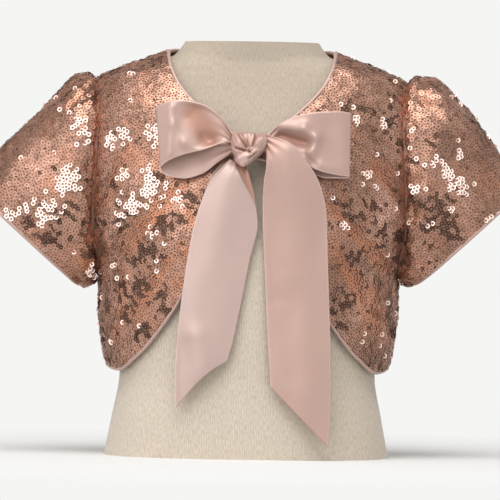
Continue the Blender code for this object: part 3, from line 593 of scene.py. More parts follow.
class ShrugSizes(bpy.types.PropertyGroup):
    """Sizes a maker would change"""

    ring_diameter: length("Sequin", "Diameter of one sequin", 0.0039, 0.002, 0.01)
    ring_hole: length("Hole", "Diameter of a sequin's hole", 0.0012, 0.0005, 0.005)
    ring_spacing: length("Spacing", "Least distance between sequins", 0.00222, 0.002, 0.01)
    ring_cup: length("Cup", "How far a sequin's rim stands above its hole", 0.00004, 0, 0.001)
    ring_wander: slope("Wander", "How far the sequins tilt together, as a slope", 0.05)
    ring_scatter: slope("Scatter", "How far each sequin tilts by itself, as a slope", 0.045)
    net_thickness: length("Net", "Thickness of the net the sequins are sewn to", 0.0008, 0.0003, 0.002)
    ribbon_width: length("Ribbon width", "Width of the ribbon as bought", 0.050, 0.02, 0.08)
    ribbon_thickness: length("Ribbon", "Thickness of the satin ribbon", 0.0007, 0.0003, 0.001)


class ShrugColours(bpy.types.PropertyGroup):
    """Colours of the cloths and finishes"""

    # The tone ramp: the dark and brown stops are painted shade, the light stop a painted glint, and rose the
    # rings' own colour
    ring_dark: colour("Sequin, turned away", "Rings that face away from the light", (0.030, 0.011, 0.006))
    ring_brown: colour("Sequin, brown", "Rings in the shade", (0.27, 0.150, 0.105))
    ring_rose: colour("Sequin, rose", "Most of the rings", (0.60, 0.33, 0.242))
    ring_light: colour("Sequin, light", "Rings that catch the light", (1.0, 0.96, 0.94))
    # Copper: painted shade in the folds' troughs and along the seams, and also given in patches and at random
    ring_copper: colour("Sequin, copper", "Rings in the troughs and along the seams", (0.58, 0.23, 0.12))
    net: colour("Net", "The net under the sequins", (0.44, 0.25, 0.18))
    satin: colour("Satin", "Ribbon and binding", (0.53, 0.388, 0.350))
    # The satin's colour for painted shade: deep in folds, on the knot, the bindings, the turned-under edge,
    # and over shaded loops and tails
    satin_painted_shade: colour("Satin, in folds", "Ribbon deep in its folds", (0.42, 0.22, 0.16))
    linen: colour("Linen", "The dress form's cover", (0.64, 0.560, 0.468))
    linen_shade: colour("Linen, between threads", "The cover between its ribs", (0.43, 0.36, 0.285))
    floor: colour("Floor", "The studio floor", (0.722, 0.722, 0.714))


class ShrugStage(bpy.types.PropertyGroup):
    """Camera and light"""

    distance: length("Distance", "From the camera to the shrug", 5.0, 1, 20)
    width: length("Field", "Width that the picture takes in at the shrug", 0.4, 0.1, 2)
    elevation: tilt("Elevation", "Camera's height as an angle", 0.5, 1)
    roll: tilt("Roll", "How far the camera leans", 0.9, 0.2)
    key: watts("Key", "Key light", 32)
    fill: watts("Fill", "Fill light", 5)
    front: watts("Front", "Front light", 14)
    top: watts("Top", "Top light", 74)
    sides: watts("Sides", "Each side light", 6)
    sky: FloatProperty(name="Room", description="Brightness of the room's light", default=0.43, min=0, max=5)


def smooth(at, knots, values):
    """A monotone cubic curve through the knots, read at the places asked for: each knot's tangent is the
    weighted harmonic mean of the slopes beside it, or 0 where they turn. Values may be rows of points."""
    knots, values = np.asarray(knots, float), np.asarray(values, float)
    wide = (...,) + (None,) * (values.ndim - 1)
    steps = np.diff(knots)[wide]
    slopes = np.diff(values, axis=0) / steps
    before, after = slopes[:-1], slopes[1:]
    weight_before = 2 * steps[1:] + steps[:-1]
    weight_after = steps[1:] + 2 * steps[:-1]
    rising = before * after > 0
    mean = (weight_before + weight_after) / (
        weight_before / np.where(rising, before, 1.0) + weight_after / np.where(rising, after, 1.0)
    )
    tangents = np.concatenate([slopes[:1], np.where(rising, mean, 0.0), slopes[-1:]])
    at = np.clip(np.asarray(at, float), knots[0], knots[-1])
    span = np.clip(np.searchsorted(knots, at) - 1, 0, len(knots) - 2)
    step = steps[span]
    t = (at - knots[span])[wide] / step
    start = (1 + 2 * t) * (1 - t) ** 2 * values[span] + t * (1 - t) ** 2 * step * tangents[span]
    end = t**2 * (3 - 2 * t) * values[span + 1] + t**2 * (t - 1) * step * tangents[span + 1]
    return start + end


def ease(values, low, high):
    """0 below low, 1 above high, and between them t squared x (3 - 2t)."""
    t = np.clip((values - low) / (high - low), 0, 1)
    return t * t * (3 - 2 * t)


def bell(distance, width):
    """1 at a distance of 0, and exp(-(distance / width) squared) away from it."""
    return np.exp(-((distance / width) ** 2))


def unit(vectors):
    """The vectors at length 1."""
    return vectors / np.maximum(np.linalg.norm(vectors, axis=-1, keepdims=True), 1e-12)


def drift(points, wavelength, seed):
    """A soft random field from about -1 to 1: the sum of plane waves in random directions, about this long,
    over the height that it seldom passes."""
    waves, peak = 8, 3.2
    rng = np.random.default_rng(seed)
    directions = unit(rng.normal(size=(waves, 3)))
    turns = directions * 2 * np.pi / wavelength * rng.uniform(0.7, 1.4, (waves, 1))
    phase = rng.uniform(0, 2 * np.pi, waves)
    return np.sin(points @ turns.T + phase).sum(-1) / peak


def section_at(sections, height, *keys):
    """A torso's measures at a height, in the order of the keys."""
    return (smooth(height, sections["height"], sections[key]) for key in keys)


def torso(sections, angle, height):
    """A point on a torso. Each level section is a rounded ellipse, (x / half width) to a power + (y / depth)
    to the same power = 1; angle 0 is the centre front and 90 degrees is +X."""
    half, front, back, power = section_at(sections, height, "half_width", "front", "back", "roundness")
    depth = np.where(np.cos(angle) >= 0, front, back)
    across, forward = np.abs(np.sin(angle)) / half, np.abs(np.cos(angle)) / depth
    radius = (across**power + forward**power) ** (-1 / power)
    return np.stack([radius * np.sin(angle), -radius * np.cos(angle), height + 0 * angle], axis=-1)


def torso_normal(sections, angle, height):
    """The outward normal there, from two short steps along the surface."""
    step = 1e-4
    across = torso(sections, angle + step, height) - torso(sections, angle - step, height)
    upward = torso(sections, angle, height + step) - torso(sections, angle, height - step)
    return unit(np.cross(across, upward))


def angle_at(x, height, side="front"):
    """The torso angle of a point this far from the middle: the section's rounded ellipse solved for depth."""
    half, depth, power = section_at(SHRUG, height, "half_width", side, "roundness")
    away = depth * np.maximum(0.0, 1 - (np.abs(x) / half) ** power) ** (1 / power)
    return np.arctan2(x, away if side == "front" else -away)


def reach_at(depth, height, side):
    """How far out the shrug's surface lies at this depth: the same ellipse solved for width."""
    half, full, power = section_at(SHRUG, height, "half_width", side, "roundness")
    return half * np.maximum(0.0, 1 - (depth / full) ** power) ** (1 / power)


def seam_half_angle(height):
    """The torso angle that half a seam's gap takes up at the side: the gap over the half width."""
    return SEAM / 2 / smooth(height, SHRUG["height"], SHRUG["half_width"])


def armhole_height(turn):
    """The armhole's height at a turn from 0, the shoulder tip, to pi, the armpit: a cosine between them."""
    middle = (SHOULDER_TIP_HEIGHT + ARMPIT_HEIGHT) / 2
    return middle + (SHOULDER_TIP_HEIGHT - ARMPIT_HEIGHT) / 2 * np.cos(turn)


def armhole_depth(turn, side):
    """How far the seam lies forward or back of the side line: the reach times a sine to a power."""
    reach = ARMHOLE_FORWARD if side == "front" else ARMHOLE_REARWARD
    return reach * np.abs(np.sin(turn)) ** ARMHOLE_FULLNESS


def side_edge(rows, turn, side, hem_height):
    """A panel's outer edge as (angle, height): round the armhole at these turns, then down the side seam."""
    seam = np.linspace(ARMPIT_HEIGHT, hem_height, rows - len(turn) + 1)[1:]
    height = np.concatenate([armhole_height(turn), seam])
    depth = np.maximum(np.concatenate([armhole_depth(turn, side), 0 * seam]), SEAM / 2)
    angle = np.arctan2(reach_at(depth, height, side), depth if side == "front" else -depth)
    return np.stack([angle, height], axis=-1)


def curve_through(knots, count):
    """Evenly spaced (angle, height) points on a monotone cubic through these, measured along the cloth."""
    places = torso(SHRUG, knots[:, 0], knots[:, 1])
    along = np.concatenate([[0], np.cumsum(np.linalg.norm(np.diff(places, axis=0), axis=1))])
    return smooth(np.linspace(0, along[-1], count), along, knots)


def on_torso(rows, side="front"):
    """A table's (x, height) points as (angle, height)."""
    return np.stack([angle_at(rows["x"], rows["height"], side), rows["height"]], axis=-1)


def front_edge(rows):
    """The front's inner edge as (angle, height): neckline, the short stretch at the tie, then the cutaway."""
    neck_point = [np.pi / 2 - seam_half_angle(NECK_POINT_HEIGHT), NECK_POINT_HEIGHT]
    neck = curve_through(np.concatenate([[neck_point], on_torso(NECKLINE)]), TIE_ROWS[0] + 1)
    away = curve_through(on_torso(CUTAWAY), rows - TIE_ROWS[1])
    share = np.linspace(0, 1, TIE_ROWS[1] - TIE_ROWS[0] + 1)[1:-1, None]
    return np.concatenate([neck, (1 - share) * neck[-1] + share * away[0], away])


def coons(top, bottom, start, end):
    """The smooth patch between four edges: the two ruled surfaces' sum, less the one through the corners."""
    v = np.linspace(0, 1, len(start))[:, None, None]
    u = np.linspace(0, 1, len(top))[None, :, None]
    ruled_down = (1 - v) * top[None] + v * bottom[None]
    ruled_across = (1 - u) * start[:, None] + u * end[:, None]
    corners = (1 - v) * ((1 - u) * top[0] + u * top[-1]) + v * ((1 - u) * bottom[0] + u * bottom[-1])
    return ruled_down + ruled_across - corners


def front_domain():
    """The left front's grid of (angle, height). Row 0 is the shoulder seam and column 0 the inner edge."""
    rows, columns = FRONT_GRID
    inner = front_edge(rows)
    turn = smooth(np.arange(ARMPIT_ROW + 1), FRONT_ROW_ENDS["row"], FRONT_ROW_ENDS["turn"])
    outer = side_edge(rows, turn, "front", SIDE_HEM_HEIGHT)
    top_height = np.linspace(NECK_POINT_HEIGHT, SHOULDER_TIP_HEIGHT, columns)
    top = np.stack([np.pi / 2 - seam_half_angle(top_height), top_height], axis=-1)
    bottom = curve_through(np.concatenate([on_torso(FRONT_HEM), outer[-1:]]), columns)
    inner[-1] = bottom[0]
    inner[0], outer[0] = top[0], top[-1]
    return coons(top, bottom, inner, outer)


def mirrored(edge):
    """The same (angle, height) points on the other half of the back: 2 pi less the angle."""
    return [2 * np.pi, 0] + edge * [-1, 1]


def back_domain():
    """The back's grid of (angle, height). Row 0 is the neckline and column 0 runs down the wearer's left
    side. The hem rises from the side seams to the middle as the square of a sine."""
    rows, columns = BACK_GRID
    height = np.linspace(NECK_POINT_HEIGHT, SHOULDER_TIP_HEIGHT, BACK_TIP_ROW + 1)
    shoulder = np.stack([np.pi / 2 + seam_half_angle(height), height], axis=-1)
    turn = np.arccos(1 - 2 * np.linspace(0, 1, BACK_ARMPIT_ROW - BACK_TIP_ROW + 1))
    side = np.concatenate([shoulder[:-1], side_edge(rows - BACK_TIP_ROW, turn, "back", SIDE_HEM_HEIGHT)])
    side[BACK_TIP_ROW] = shoulder[-1]
    half = curve_through(np.concatenate([shoulder[:1], on_torso(BACK_NECKLINE, "back")]), columns // 2 + 1)
    top = np.concatenate([half, mirrored(half[-2::-1])])
    hem_angle = np.linspace(side[-1, 0], 2 * np.pi - side[-1, 0], columns)
    rise = (BACK_HEM_HEIGHT - SIDE_HEM_HEIGHT) * np.sin(hem_angle - np.pi / 2) ** 2
    bottom = np.stack([hem_angle, SIDE_HEM_HEIGHT + rise], axis=-1)
    return coons(top, bottom, side, mirrored(side))


def finer(grid):
    """The grid with FINER steps for each one, by smooth curves down its columns and then along its rows."""
    for _ in range(2):
        count = len(grid)
        grid = smooth(np.linspace(0, count - 1, (count - 1) * FINER + 1), np.arange(count), grid)
        grid = np.swapaxes(grid, 0, 1)
    return grid


def fold_depth(points, folds):
    """How deep the folds press in at each point: the sum of a bell-shaped trough along each fold's line, seen
    from the front. With a lean, tanh of the distance across makes one side steep and the other easy."""
    flat = points[..., None, [0, 2]]
    start = np.stack([folds["from_x"], folds["from_z"]], axis=-1)
    line = np.stack([folds["to_x"], folds["to_z"]], axis=-1) - start
    share = ((flat - start) * line).sum(-1) / (line**2).sum(-1)
    gap = flat - start - np.clip(share, 0, 1)[..., None] * line
    across = (gap[..., 0] * line[:, 1] - gap[..., 1] * line[:, 0]) / np.linalg.norm(line, axis=-1)
    lean = 1 + folds["lean"] * np.tanh(2 * across / folds["width"])
    return (folds["depth"] * bell(np.linalg.norm(gap, axis=-1), folds["width"]) * lean).sum(-1)


def edge_mask(rows, columns):
    """0 on a panel's edges, rising to 1 inside, so that folds leave the seams where they are."""
    down, across = (np.linspace(0, 1, count) for count in (rows, columns))
    down, across = (ease(np.minimum(line, 1 - line), 0, FOLD_FADE) for line in (down, across))
    return down[:, None] * across


def along_grid(points, axis, back=False):
    """Distance along the grid's rows or columns from one end, as running sums of the steps."""
    steps = np.linalg.norm(np.diff(points, axis=axis), axis=-1)
    steps = np.flip(steps, axis) if back else steps
    zero = np.zeros_like(np.take(steps, [0], axis))
    run = np.concatenate([zero, np.cumsum(steps, axis=axis)], axis=axis)
    return np.flip(run, axis) if back else run


def seam_relief(points, to_seam, relief, seed):
    """(groove, puckers): how deep the cloth sinks near a seam. The groove is a bell along the seam, and the
    puckers are a drift under a bell along a line beside it."""
    depth, width = relief["groove"]
    groove = depth * bell(to_seam, width)
    depth, size = relief["puckers"]
    middle, width = relief["band"]
    return groove, depth * drift(points, size, seed) * bell(to_seam - middle, width)


def panel(domain, folds, seams):
    """(points, normals, distance to the nearest sewn edge) of a torso panel, pressed in by its folds, by slow
    waves and by the relief along its seams."""
    points = torso(SHRUG, domain[..., 0], domain[..., 1])
    normals = torso_normal(SHRUG, domain[..., 0], domain[..., 1])
    height, size = PANEL_RELIEF["waves"]
    depth = (fold_depth(points, folds) + height * drift(points, size, seed=5)) * edge_mask(*domain.shape[:2])
    to_seam = np.min([along_grid(points, *seam) for seam in seams], axis=0)
    groove, puckers = seam_relief(points, to_seam, PANEL_RELIEF, seed=6)
    return points - normals * (depth + groove + puckers)[..., None], normals, to_seam


def panel_allowance(points, normals, edges):
    """A panel's points and normals with a narrow allowance beyond each sewn edge, which tucks in under the
    next piece. An edge is its column and the column beside it."""
    for column, beside in edges:
        outwards = unit(points[:, column] - points[:, beside])
        extra = points[:, column] + ALLOWANCE * outwards - PANEL_TUCK * normals[:, column]
        at = 0 if column == 0 else points.shape[1]
        points = np.insert(points, at, extra, axis=1)
        normals = np.insert(normals, at, normals[:, column], axis=1)
    return points, normals


def sleeve_allowance(points, normals):
    """A sleeve's points and normals with one more ring, nearer to the torso and a little further in."""
    first = points[0]
    inwards = unit((first - first.mean(axis=0)) * [0, 1, 1])
    extra = first - [np.sign(first[0, 0]) * ALLOWANCE, 0, 0] - SLEEVE_TUCK * inwards
    return np.concatenate([extra[None], points]), np.concatenate([normals[:1], normals])


def sleeve(rows, side, folds):
    """(points, normals, distance to the armhole) of a sleeve, ring by ring from the armhole to the hem. A
    turn of 0 is the top: height follows a cosine between the ring's top and bottom, depth a sine to a power,
    and gathers at the head are a cosine wave that fades round the head and down the sleeve."""
    rings, around = SLEEVE_FINE
    line = np.linspace(0, 1, rings)[:, None]
    share = line**SLEEVE_CROWDING
    turn = np.linspace(0, 2 * np.pi, around, endpoint=False)[None, :]
    read = {key: smooth(share, rows["share"], rows[key]) for key in rows}
    top, bottom = (np.stack([read[f"{end}_x"], read[f"{end}_z"]], axis=-1) for end in ("top", "bottom"))
    flat = (top + bottom) / 2 + (top - bottom) / 2 * np.cos(turn)[..., None]
    is_front = np.sin(turn) >= 0
    reach = [reach_at(armhole_depth(turn, end), armhole_height(turn), end) for end in ("front", "back")]
    reach = SEAM + np.where(is_front, *reach)
    grown = ease(share, 0, ARMHOLE_SHARE)
    spread = np.where(is_front, read["forward"], read["rearward"])
    sine = np.abs(np.sin(turn))
    oval = (1 - grown) * sine**ARMHOLE_FULLNESS + grown * sine**SLEEVE_HEM_FULLNESS
    settle = (1 - grown) * (side * reach - flat[:1, :, 0])
    y = np.where(is_front, -1, 1) * spread * oval
    points = np.stack([flat[..., 0] + settle, y, flat[..., 1]], axis=-1)
    normals = -side * grid_normals(points, wrap=True)
    signed = (turn + np.pi) % (2 * np.pi) - np.pi
    wave = PUFF_DEPTH * np.cos(PUFF_WAVES * signed) * bell(signed, PUFF_SPREAD)
    wave = wave * np.sin(np.pi * np.clip(line / PUFF_LENGTH, 0, 1)) ** 2
    to_seam = along_grid(points, 0)
    inside = ease(line, 0.02, 0.15) * ease(1 - line, 0, 0.15)
    height, size = SLEEVE_RELIEF["waves"]
    depth = (fold_depth(points, folds) * is_front + height * drift(points, size, seed=7)) * inside
    groove, puckers = seam_relief(points, to_seam, SLEEVE_RELIEF, seed=8)
    depth = depth + groove * ease(np.abs(signed), 0.3, 0.8) + puckers
    points = points + normals * (wave - depth)[..., None]
    normals = -side * grid_normals(points, wrap=True)
    normals[0, :, 0] = side * np.minimum(0, side * normals[0, :, 0])
    return points, unit(normals), to_seam


def grid_normals(points, wrap=False):
    """Normals of a grid from the differences between neighbours."""
    down = np.gradient(points, axis=0)
    across = np.roll(points, -1, axis=1) - np.roll(points, 1, axis=1) if wrap else np.gradient(points, axis=1)
    return unit(np.cross(down, across))


def grid_quads(rows, columns, wrap=False):
    """A grid's four-cornered faces, and the (column, row) of each corner."""
    row, column = np.meshgrid(np.arange(rows - 1), np.arange(columns - (not wrap)), indexing="ij")
    corners = np.stack([column, row], axis=-1).reshape(-1, 1, 2) + np.array([[0, 0], [1, 0], [1, 1], [0, 1]])
    return corners[..., 1] * columns + corners[..., 0] % columns, corners.astype(float)


def new_piece(name, points, quads, look, uv=None, marks=None, caps=(), outward=None):
    """One mesh object. With outward normals given, faces that point the other way are turned; a closed piece
    is turned by the sign of its volume instead."""
    points = points.reshape(-1, 3)
    if outward is not None:
        a, b, c, d = (points[quads[:, k]] for k in range(4))
        if (np.cross(c - a, d - b) * outward.reshape(-1, 3)[quads[:, 0]]).sum() < 0:
            quads, uv = quads[:, ::-1], None if uv is None else uv[:, ::-1]
    mesh = bpy.data.meshes.new(name)
    mesh.from_pydata(points, [], [*quads.tolist(), *caps])
    if uv is not None:
        corners = np.zeros((len(mesh.loops), 2))
        corners[: quads.size] = uv.reshape(-1, 2)
        mesh.uv_layers.new(name="UVMap").data.foreach_set("uv", corners.ravel())
    for word, values in (marks or {}).items():
        attribute = mesh.attributes.new(word, "FLOAT", "POINT")
        attribute.data.foreach_set("value", values.astype(np.float32).ravel())
    if outward is None:
        work = bmesh.new()
        work.from_mesh(mesh)
        bmesh.ops.recalc_face_normals(work, faces=work.faces)
        if work.calc_volume(signed=True) < 0:
            bmesh.ops.reverse_faces(work, faces=work.faces)
        work.to_mesh(mesh)
        work.free()
    mesh.materials.append(look)
    mesh.shade_smooth()
    obj = bpy.data.objects.new(name, mesh)
    bpy.context.scene.collection.objects.link(obj)
    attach(obj, "root")
    return obj


def thicken(obj, thickness):
    """Gives a one-layer sheet its thickness inwards."""
    solid = obj.modifiers.new("Thickness", "SOLIDIFY")
    solid.thickness = thickness
    solid.offset = -1
    solid.use_even_offset = False


def cells(grid):
    """The four corners of each cell of a grid, in turn round it."""
    return grid[:-1, :-1], grid[:-1, 1:], grid[1:, 1:], grid[1:, :-1]


def cell_areas(points):
    """Each cell's area: half the length of its diagonals' cross product."""
    a, b, c, d = cells(points)
    return np.linalg.norm(np.cross(c - a, d - b), axis=-1) / 2


def sheet_size(points):
    """(width, length, area) of a grid of points: its longest row, its longest column and its cells' areas."""
    down, across = along_grid(points, 0)[-1].max(), along_grid(points, 1)[:, -1].max()
    return across, down, min(cell_areas(points).sum(), across * down)


def scatter(points, normals, spacing, seed, marks):
    """Places on a grid surface: random ones, as many as each cell's area calls for, and then only those that
    lie at least the spacing apart. Returns (places, normals, marks)."""
    rng = np.random.default_rng(seed)
    channels = np.concatenate([points, normals, *(values[..., None] for values in marks)], axis=-1)
    area = cell_areas(points).ravel()
    count = int(area.sum() / spacing**2 * TRIES)
    cell = rng.choice(area.size, count, p=area / area.sum())
    u, v = rng.random((2, count, 1))
    a, b, c, d = (corner.reshape(-1, channels.shape[-1])[cell] for corner in cells(channels))
    found = (1 - v) * ((1 - u) * a + u * b) + v * ((1 - u) * d + u * c)
    tree = kdtree.KDTree(count)
    for k, place in enumerate(found[:, :3]):
        tree.insert(place, k)
    tree.balance()
    kept = np.ones(count, bool)
    for k, place in enumerate(found[:, :3]):
        if kept[k]:
            kept[[near for _, near, _ in tree.find_range(place, spacing) if near > k]] = False
    found = found[kept]
    return found[:, :3], unit(found[:, 3:6]), found[:, 6:].T


def patch_share(places, patches):
    """The share of rings that a table of patches asks for at each place on the front: the highest bell."""
    gap = np.hypot(places[:, None, 0] - patches["x"], places[:, None, 2] - patches["z"])
    share = patches["share"] * bell(gap, patches["radius"])
    return share.max(axis=1) * (places[:, 1] < 0.0)


def ring_tones_and_painted_light(places, to_seam, pressed, rng):
    """Each ring's colour marks, as (is shaded, is glinting, copper, tone). The tables of patches give the
    shares of rings with painted shade and painted glints, and sines of a drift say which ones, so that they
    come in short chains. Copper is painted shade in the folds' troughs and along the seams, and also comes in
    patches and at random, and the tone of all other rings varies a little round TONE."""
    count = len(places)
    dark = np.maximum(patch_share(places, PAINTED_SHADE_PATCHES), 0.20 * ease(drift(places, 0.016, seed=21), 0.1, 0.8))
    pale = np.maximum(patch_share(places, PAINTED_GLINT_PATCHES), 0.008)
    pick = []
    for k in range(2):
        long, short = drift(places, 0.022, seed=26 + k), drift(places, 0.009, seed=24 + k)
        pick.append(0.5 + 0.20 * np.sin(7 * long) + 0.24 * short + rng.uniform(-0.12, 0.12, count))
    is_shaded = pick[0] < dark
    is_glinting = (pick[1] < pale) & ~is_shaded
    # Painted shade: copper in the folds' troughs and along the seams
    copper = 0.65 * ease(pressed, 0.0006, 0.0028) + 0.95 * bell(to_seam, SEAM_SHADE)
    copper = np.maximum(copper, patch_share(places, COPPER_PATCHES))
    elsewhere = 0.22 * ease(drift(places, 0.026, seed=23), 0.1, 0.9)
    copper = np.maximum(copper, elsewhere) * rng.uniform(0.6, 1, count)
    copper = np.where(is_glinting, 0, np.clip(copper, 0, 0.9)) * np.where(is_shaded, 0.2, 1)
    tone = TONE + 0.08 * drift(places, 0.060, seed=22) + 0.05 * rng.normal(size=count)
    dark_tone, pale_tone = rng.uniform(*DARK_TONES, count), rng.uniform(*PALE_TONES, count)
    return is_shaded, is_glinting, copper, np.where(is_shaded, dark_tone, np.where(is_glinting, pale_tone, tone))


def ring_facings(places, normals, is_glinting, sizes, rng):
    """The way each ring faces: the cloth's normal with a lean that neighbours share and one of its own, more
    of both where the cloth turns to the side. Pale rings turn most of the way to the glint instead."""
    wander = np.stack([drift(places, 0.018, seed=30 + k) for k in range(3)], axis=-1)
    lean = sizes.ring_wander * wander + sizes.ring_scatter * rng.normal(size=places.shape)
    lean *= 1 + 2.4 * ease(normals[:, 1:2], -0.55, -0.1)
    lean -= (lean * normals).sum(-1, keepdims=True) * normals
    to_glint = normals + 0.80 * (np.array(GLINT) - normals) + 0.3 * lean
    return unit(np.where(is_glinting[:, None], to_glint, normals + lean))


def rings(name, found, sizes, look, seed):
    """Sequins sewn on at the places found. A ring's point is its place + radius x (cos t x across + sin t x
    along) + rise x normal, with the outer circle raised above the hole as a shallow cup."""
    kept = found[2][0] > RING_CLEARANCE
    places, normals, (to_seam, pressed) = found[0][kept], found[1][kept], found[2][:, kept]
    rng = np.random.default_rng(seed)
    count = len(places)
    is_shaded, is_glinting, copper, tone = ring_tones_and_painted_light(places, to_seam, pressed, rng)
    facing = ring_facings(places, normals, is_glinting, sizes, rng)
    across = unit(np.cross(facing, rng.normal(size=(count, 3))))
    along = np.cross(facing, across)
    t = np.linspace(0, 2 * np.pi, RING_SIDES, endpoint=False)[None, :, None]
    circle = np.cos(t) * across[:, None] + np.sin(t) * along[:, None]
    rise = rng.uniform(-0.0001, 0.0005, (count, 1)) + 0.0003 * is_glinting[:, None]
    centre = (places + normals * rise)[:, None]
    reach = sizes.ring_diameter / 2 * np.where(is_shaded, DARK_REACH, 1.0)[:, None, None]
    hole = sizes.ring_hole / 2 * np.where(is_shaded, DARK_HOLE, 1.0)[:, None, None]
    outer = centre + circle * reach + facing[:, None] * sizes.ring_cup
    points = np.stack([centre + circle * hole, outer], axis=1)
    start = np.arange(count)[:, None] * 2 * RING_SIDES
    k = np.arange(RING_SIDES)[None, :]
    after = (k + 1) % RING_SIDES
    quads = np.stack([start + k, start + RING_SIDES + k, start + RING_SIDES + after, start + after], axis=-1)
    # Each ring's inner part carries painted shade: darker than its rim, and on a glint darker than the
    # painted glint
    inner = np.where(is_glinting, PALE_INNER_TONE, tone - INNER_SHADE)
    inner = np.where(is_shaded, rng.uniform(*DARK_INNER_TONES, count), inner)
    tone = np.repeat(np.clip(np.stack([inner, tone], axis=-1), 0, 1), RING_SIDES)
    marks = {"tone": tone, "copper": np.repeat(copper, 2 * RING_SIDES)}
    outward = np.repeat(facing, 2 * RING_SIDES, axis=0)
    obj = new_piece(name, points, quads.reshape(-1, 4), look, marks=marks, outward=outward)
    return obj


def binding(name, edge, normals, inward, look, seam_ends=(False, False), closed=False):
    """A rolled strip of satin outside a panel's edge: an oval profile, width x cos t by thickness x sin t,
    carried along the edge's points. An end on a seam is cut square across it."""
    if closed:
        along = np.roll(edge, -1, axis=0) - np.roll(edge, 1, axis=0)
    else:
        along = np.gradient(edge, axis=0)
    outward = unit(np.cross(along, normals))
    outward *= np.sign(-(outward * inward).sum(-1, keepdims=True))
    normals = unit(normals - (normals * unit(along)).sum(-1, keepdims=True) * unit(along))
    for end, is_seam in zip((0, -1), seam_ends):
        if is_seam:
            outward[end] = unit(outward[end] * [1, 0, 1])
            normals[end] = unit(normals[end] * [1, 0, 1])
    centre = edge + outward * (SEAM + BINDING_WIDTH / 2) - normals * CLOTH / 2
    t = np.linspace(0, 2 * np.pi, BINDING_SIDES, endpoint=False)[None, :, None]
    across = outward[:, None] * np.cos(t) * BINDING_WIDTH / 2
    points = centre[:, None] + across + normals[:, None] * np.sin(t) * (CLOTH / 2 + BINDING_PROUD)
    count = len(edge)
    quads, uv = grid_quads(count + closed, BINDING_SIDES, wrap=True)
    quads = quads % (count * BINDING_SIDES)
    caps = [] if closed else [range(BINDING_SIDES), range((count - 1) * BINDING_SIDES, count * BINDING_SIDES)]
    step = np.linalg.norm(along, axis=-1).mean() / (2 if closed else 1)
    start, girth = BINDING_PATTERN
    uv = uv * [girth / BINDING_SIDES, step] + [start, 0]
    # Painted shade over the whole binding
    marks = {"painted_shade": np.full(points.shape[:2], BINDING_PAINTED_SHADE)}
    obj = new_piece(f"{name}_satin", points, quads, look, uv, marks, [tuple(cap) for cap in caps])
    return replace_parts(obj, name)


def strip(name, rows, look, side, folds, sizes, is_loop=False, under=None, cut=0.0, shade=0.0):
    """A ribbon: across each row it runs straight from edge a to edge b with a swell of sin(pi u), its folds
    press the forward layer in, and near the knot it is pleated by a cosine across it. Past the line of the
    table under, the cloth turns under, and the cut end bows by sin(pi u)."""
    count, across = STRIP_FINE
    share = np.linspace(0, 1, count)[:, None]
    u = np.linspace(0, 1, across)[None, :]
    read = {key: smooth(share, rows["share"], rows[key]) for key in rows}
    a, b = (np.stack([read[f"{e}_{key}"] for key in ("x", "forward", "z")], axis=-1) for e in "ab")
    points = (a + (b - a) * u[..., None]) * [MM, -MM, MM]
    ahead = 1 - ease(share, *LOOP_TURN) if is_loop else 1 + 0 * share
    near = np.minimum(share, 1 - share) if is_loop else share
    pressed = fold_depth(points, folds) * ahead * ease(near, 0, 0.06)
    pleats = np.cos(2 * np.pi * (PLEATS * u + PLEAT_SHIFT)) * bell(near, PLEAT_FADE)
    pleats = (LOOP_PLEAT if is_loop else TAIL_PLEAT) * pleats
    points[..., 2] += cut * np.sin(np.pi * u) * ease(share, 0.75, 1)
    turned_in = 0 * pressed
    if under is not None:
        past = points[..., 0] - smooth(points[..., 2], under["height"], under["x"])
        above = points[..., 2] - under["height"][0]
        turned_in = ease(past, 0, TURN_WIDTH) * ease(above, 0, TURN_HEIGHT)
    pressed = pressed + TURN_DEPTH * turned_in
    ripple = 0.0004 * drift(points * [1, 0, 0.5], 0.030, seed=41) * ease(near, 0.1, 0.3)
    swell = read["swell"] * MM * np.sin(np.pi * u)
    inside = 0.4 + 0.6 * ease(np.minimum(u, 1 - u), 0, 0.12)
    points[..., 1] += pressed * inside - swell + pleats + ripple
    normals = side * grid_normals(points)
    # Painted shade: deep in the folds, near the knot, on the turned-under edge, and over the whole strip by
    # shade; on a loop also over its back layer
    painted_shade = np.clip(0.9 * ease(pressed, 0.0012, 0.0085) + 0.35 * bell(near, 0.05), 0, 1)
    painted_shade = np.maximum(painted_shade, 1.1 * turned_in) + shade
    if is_loop:
        painted_shade = np.maximum(painted_shade, 0.30 * ease(share, 0.50, 0.60) + 0 * u)
    quads, uv = grid_quads(count, across)
    length = along_grid(points, 0)[-1, across // 2]
    uv = uv * [sizes.ribbon_width / (across - 1), length / (count - 1)]
    obj = new_piece(f"{name}_ribbon", points, quads, look, uv, {"painted_shade": painted_shade}, outward=normals)
    thicken(obj, sizes.ribbon_thickness)
    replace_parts(obj, name)
    area = sheet_size(points)[2]
    flat = sizes.ribbon_width * length
    float(np.clip(area, 0.62 * flat, flat))


def signed_power(values, power):
    """The values' sizes to a power, with their signs kept."""
    return np.sign(values) * np.abs(values) ** power


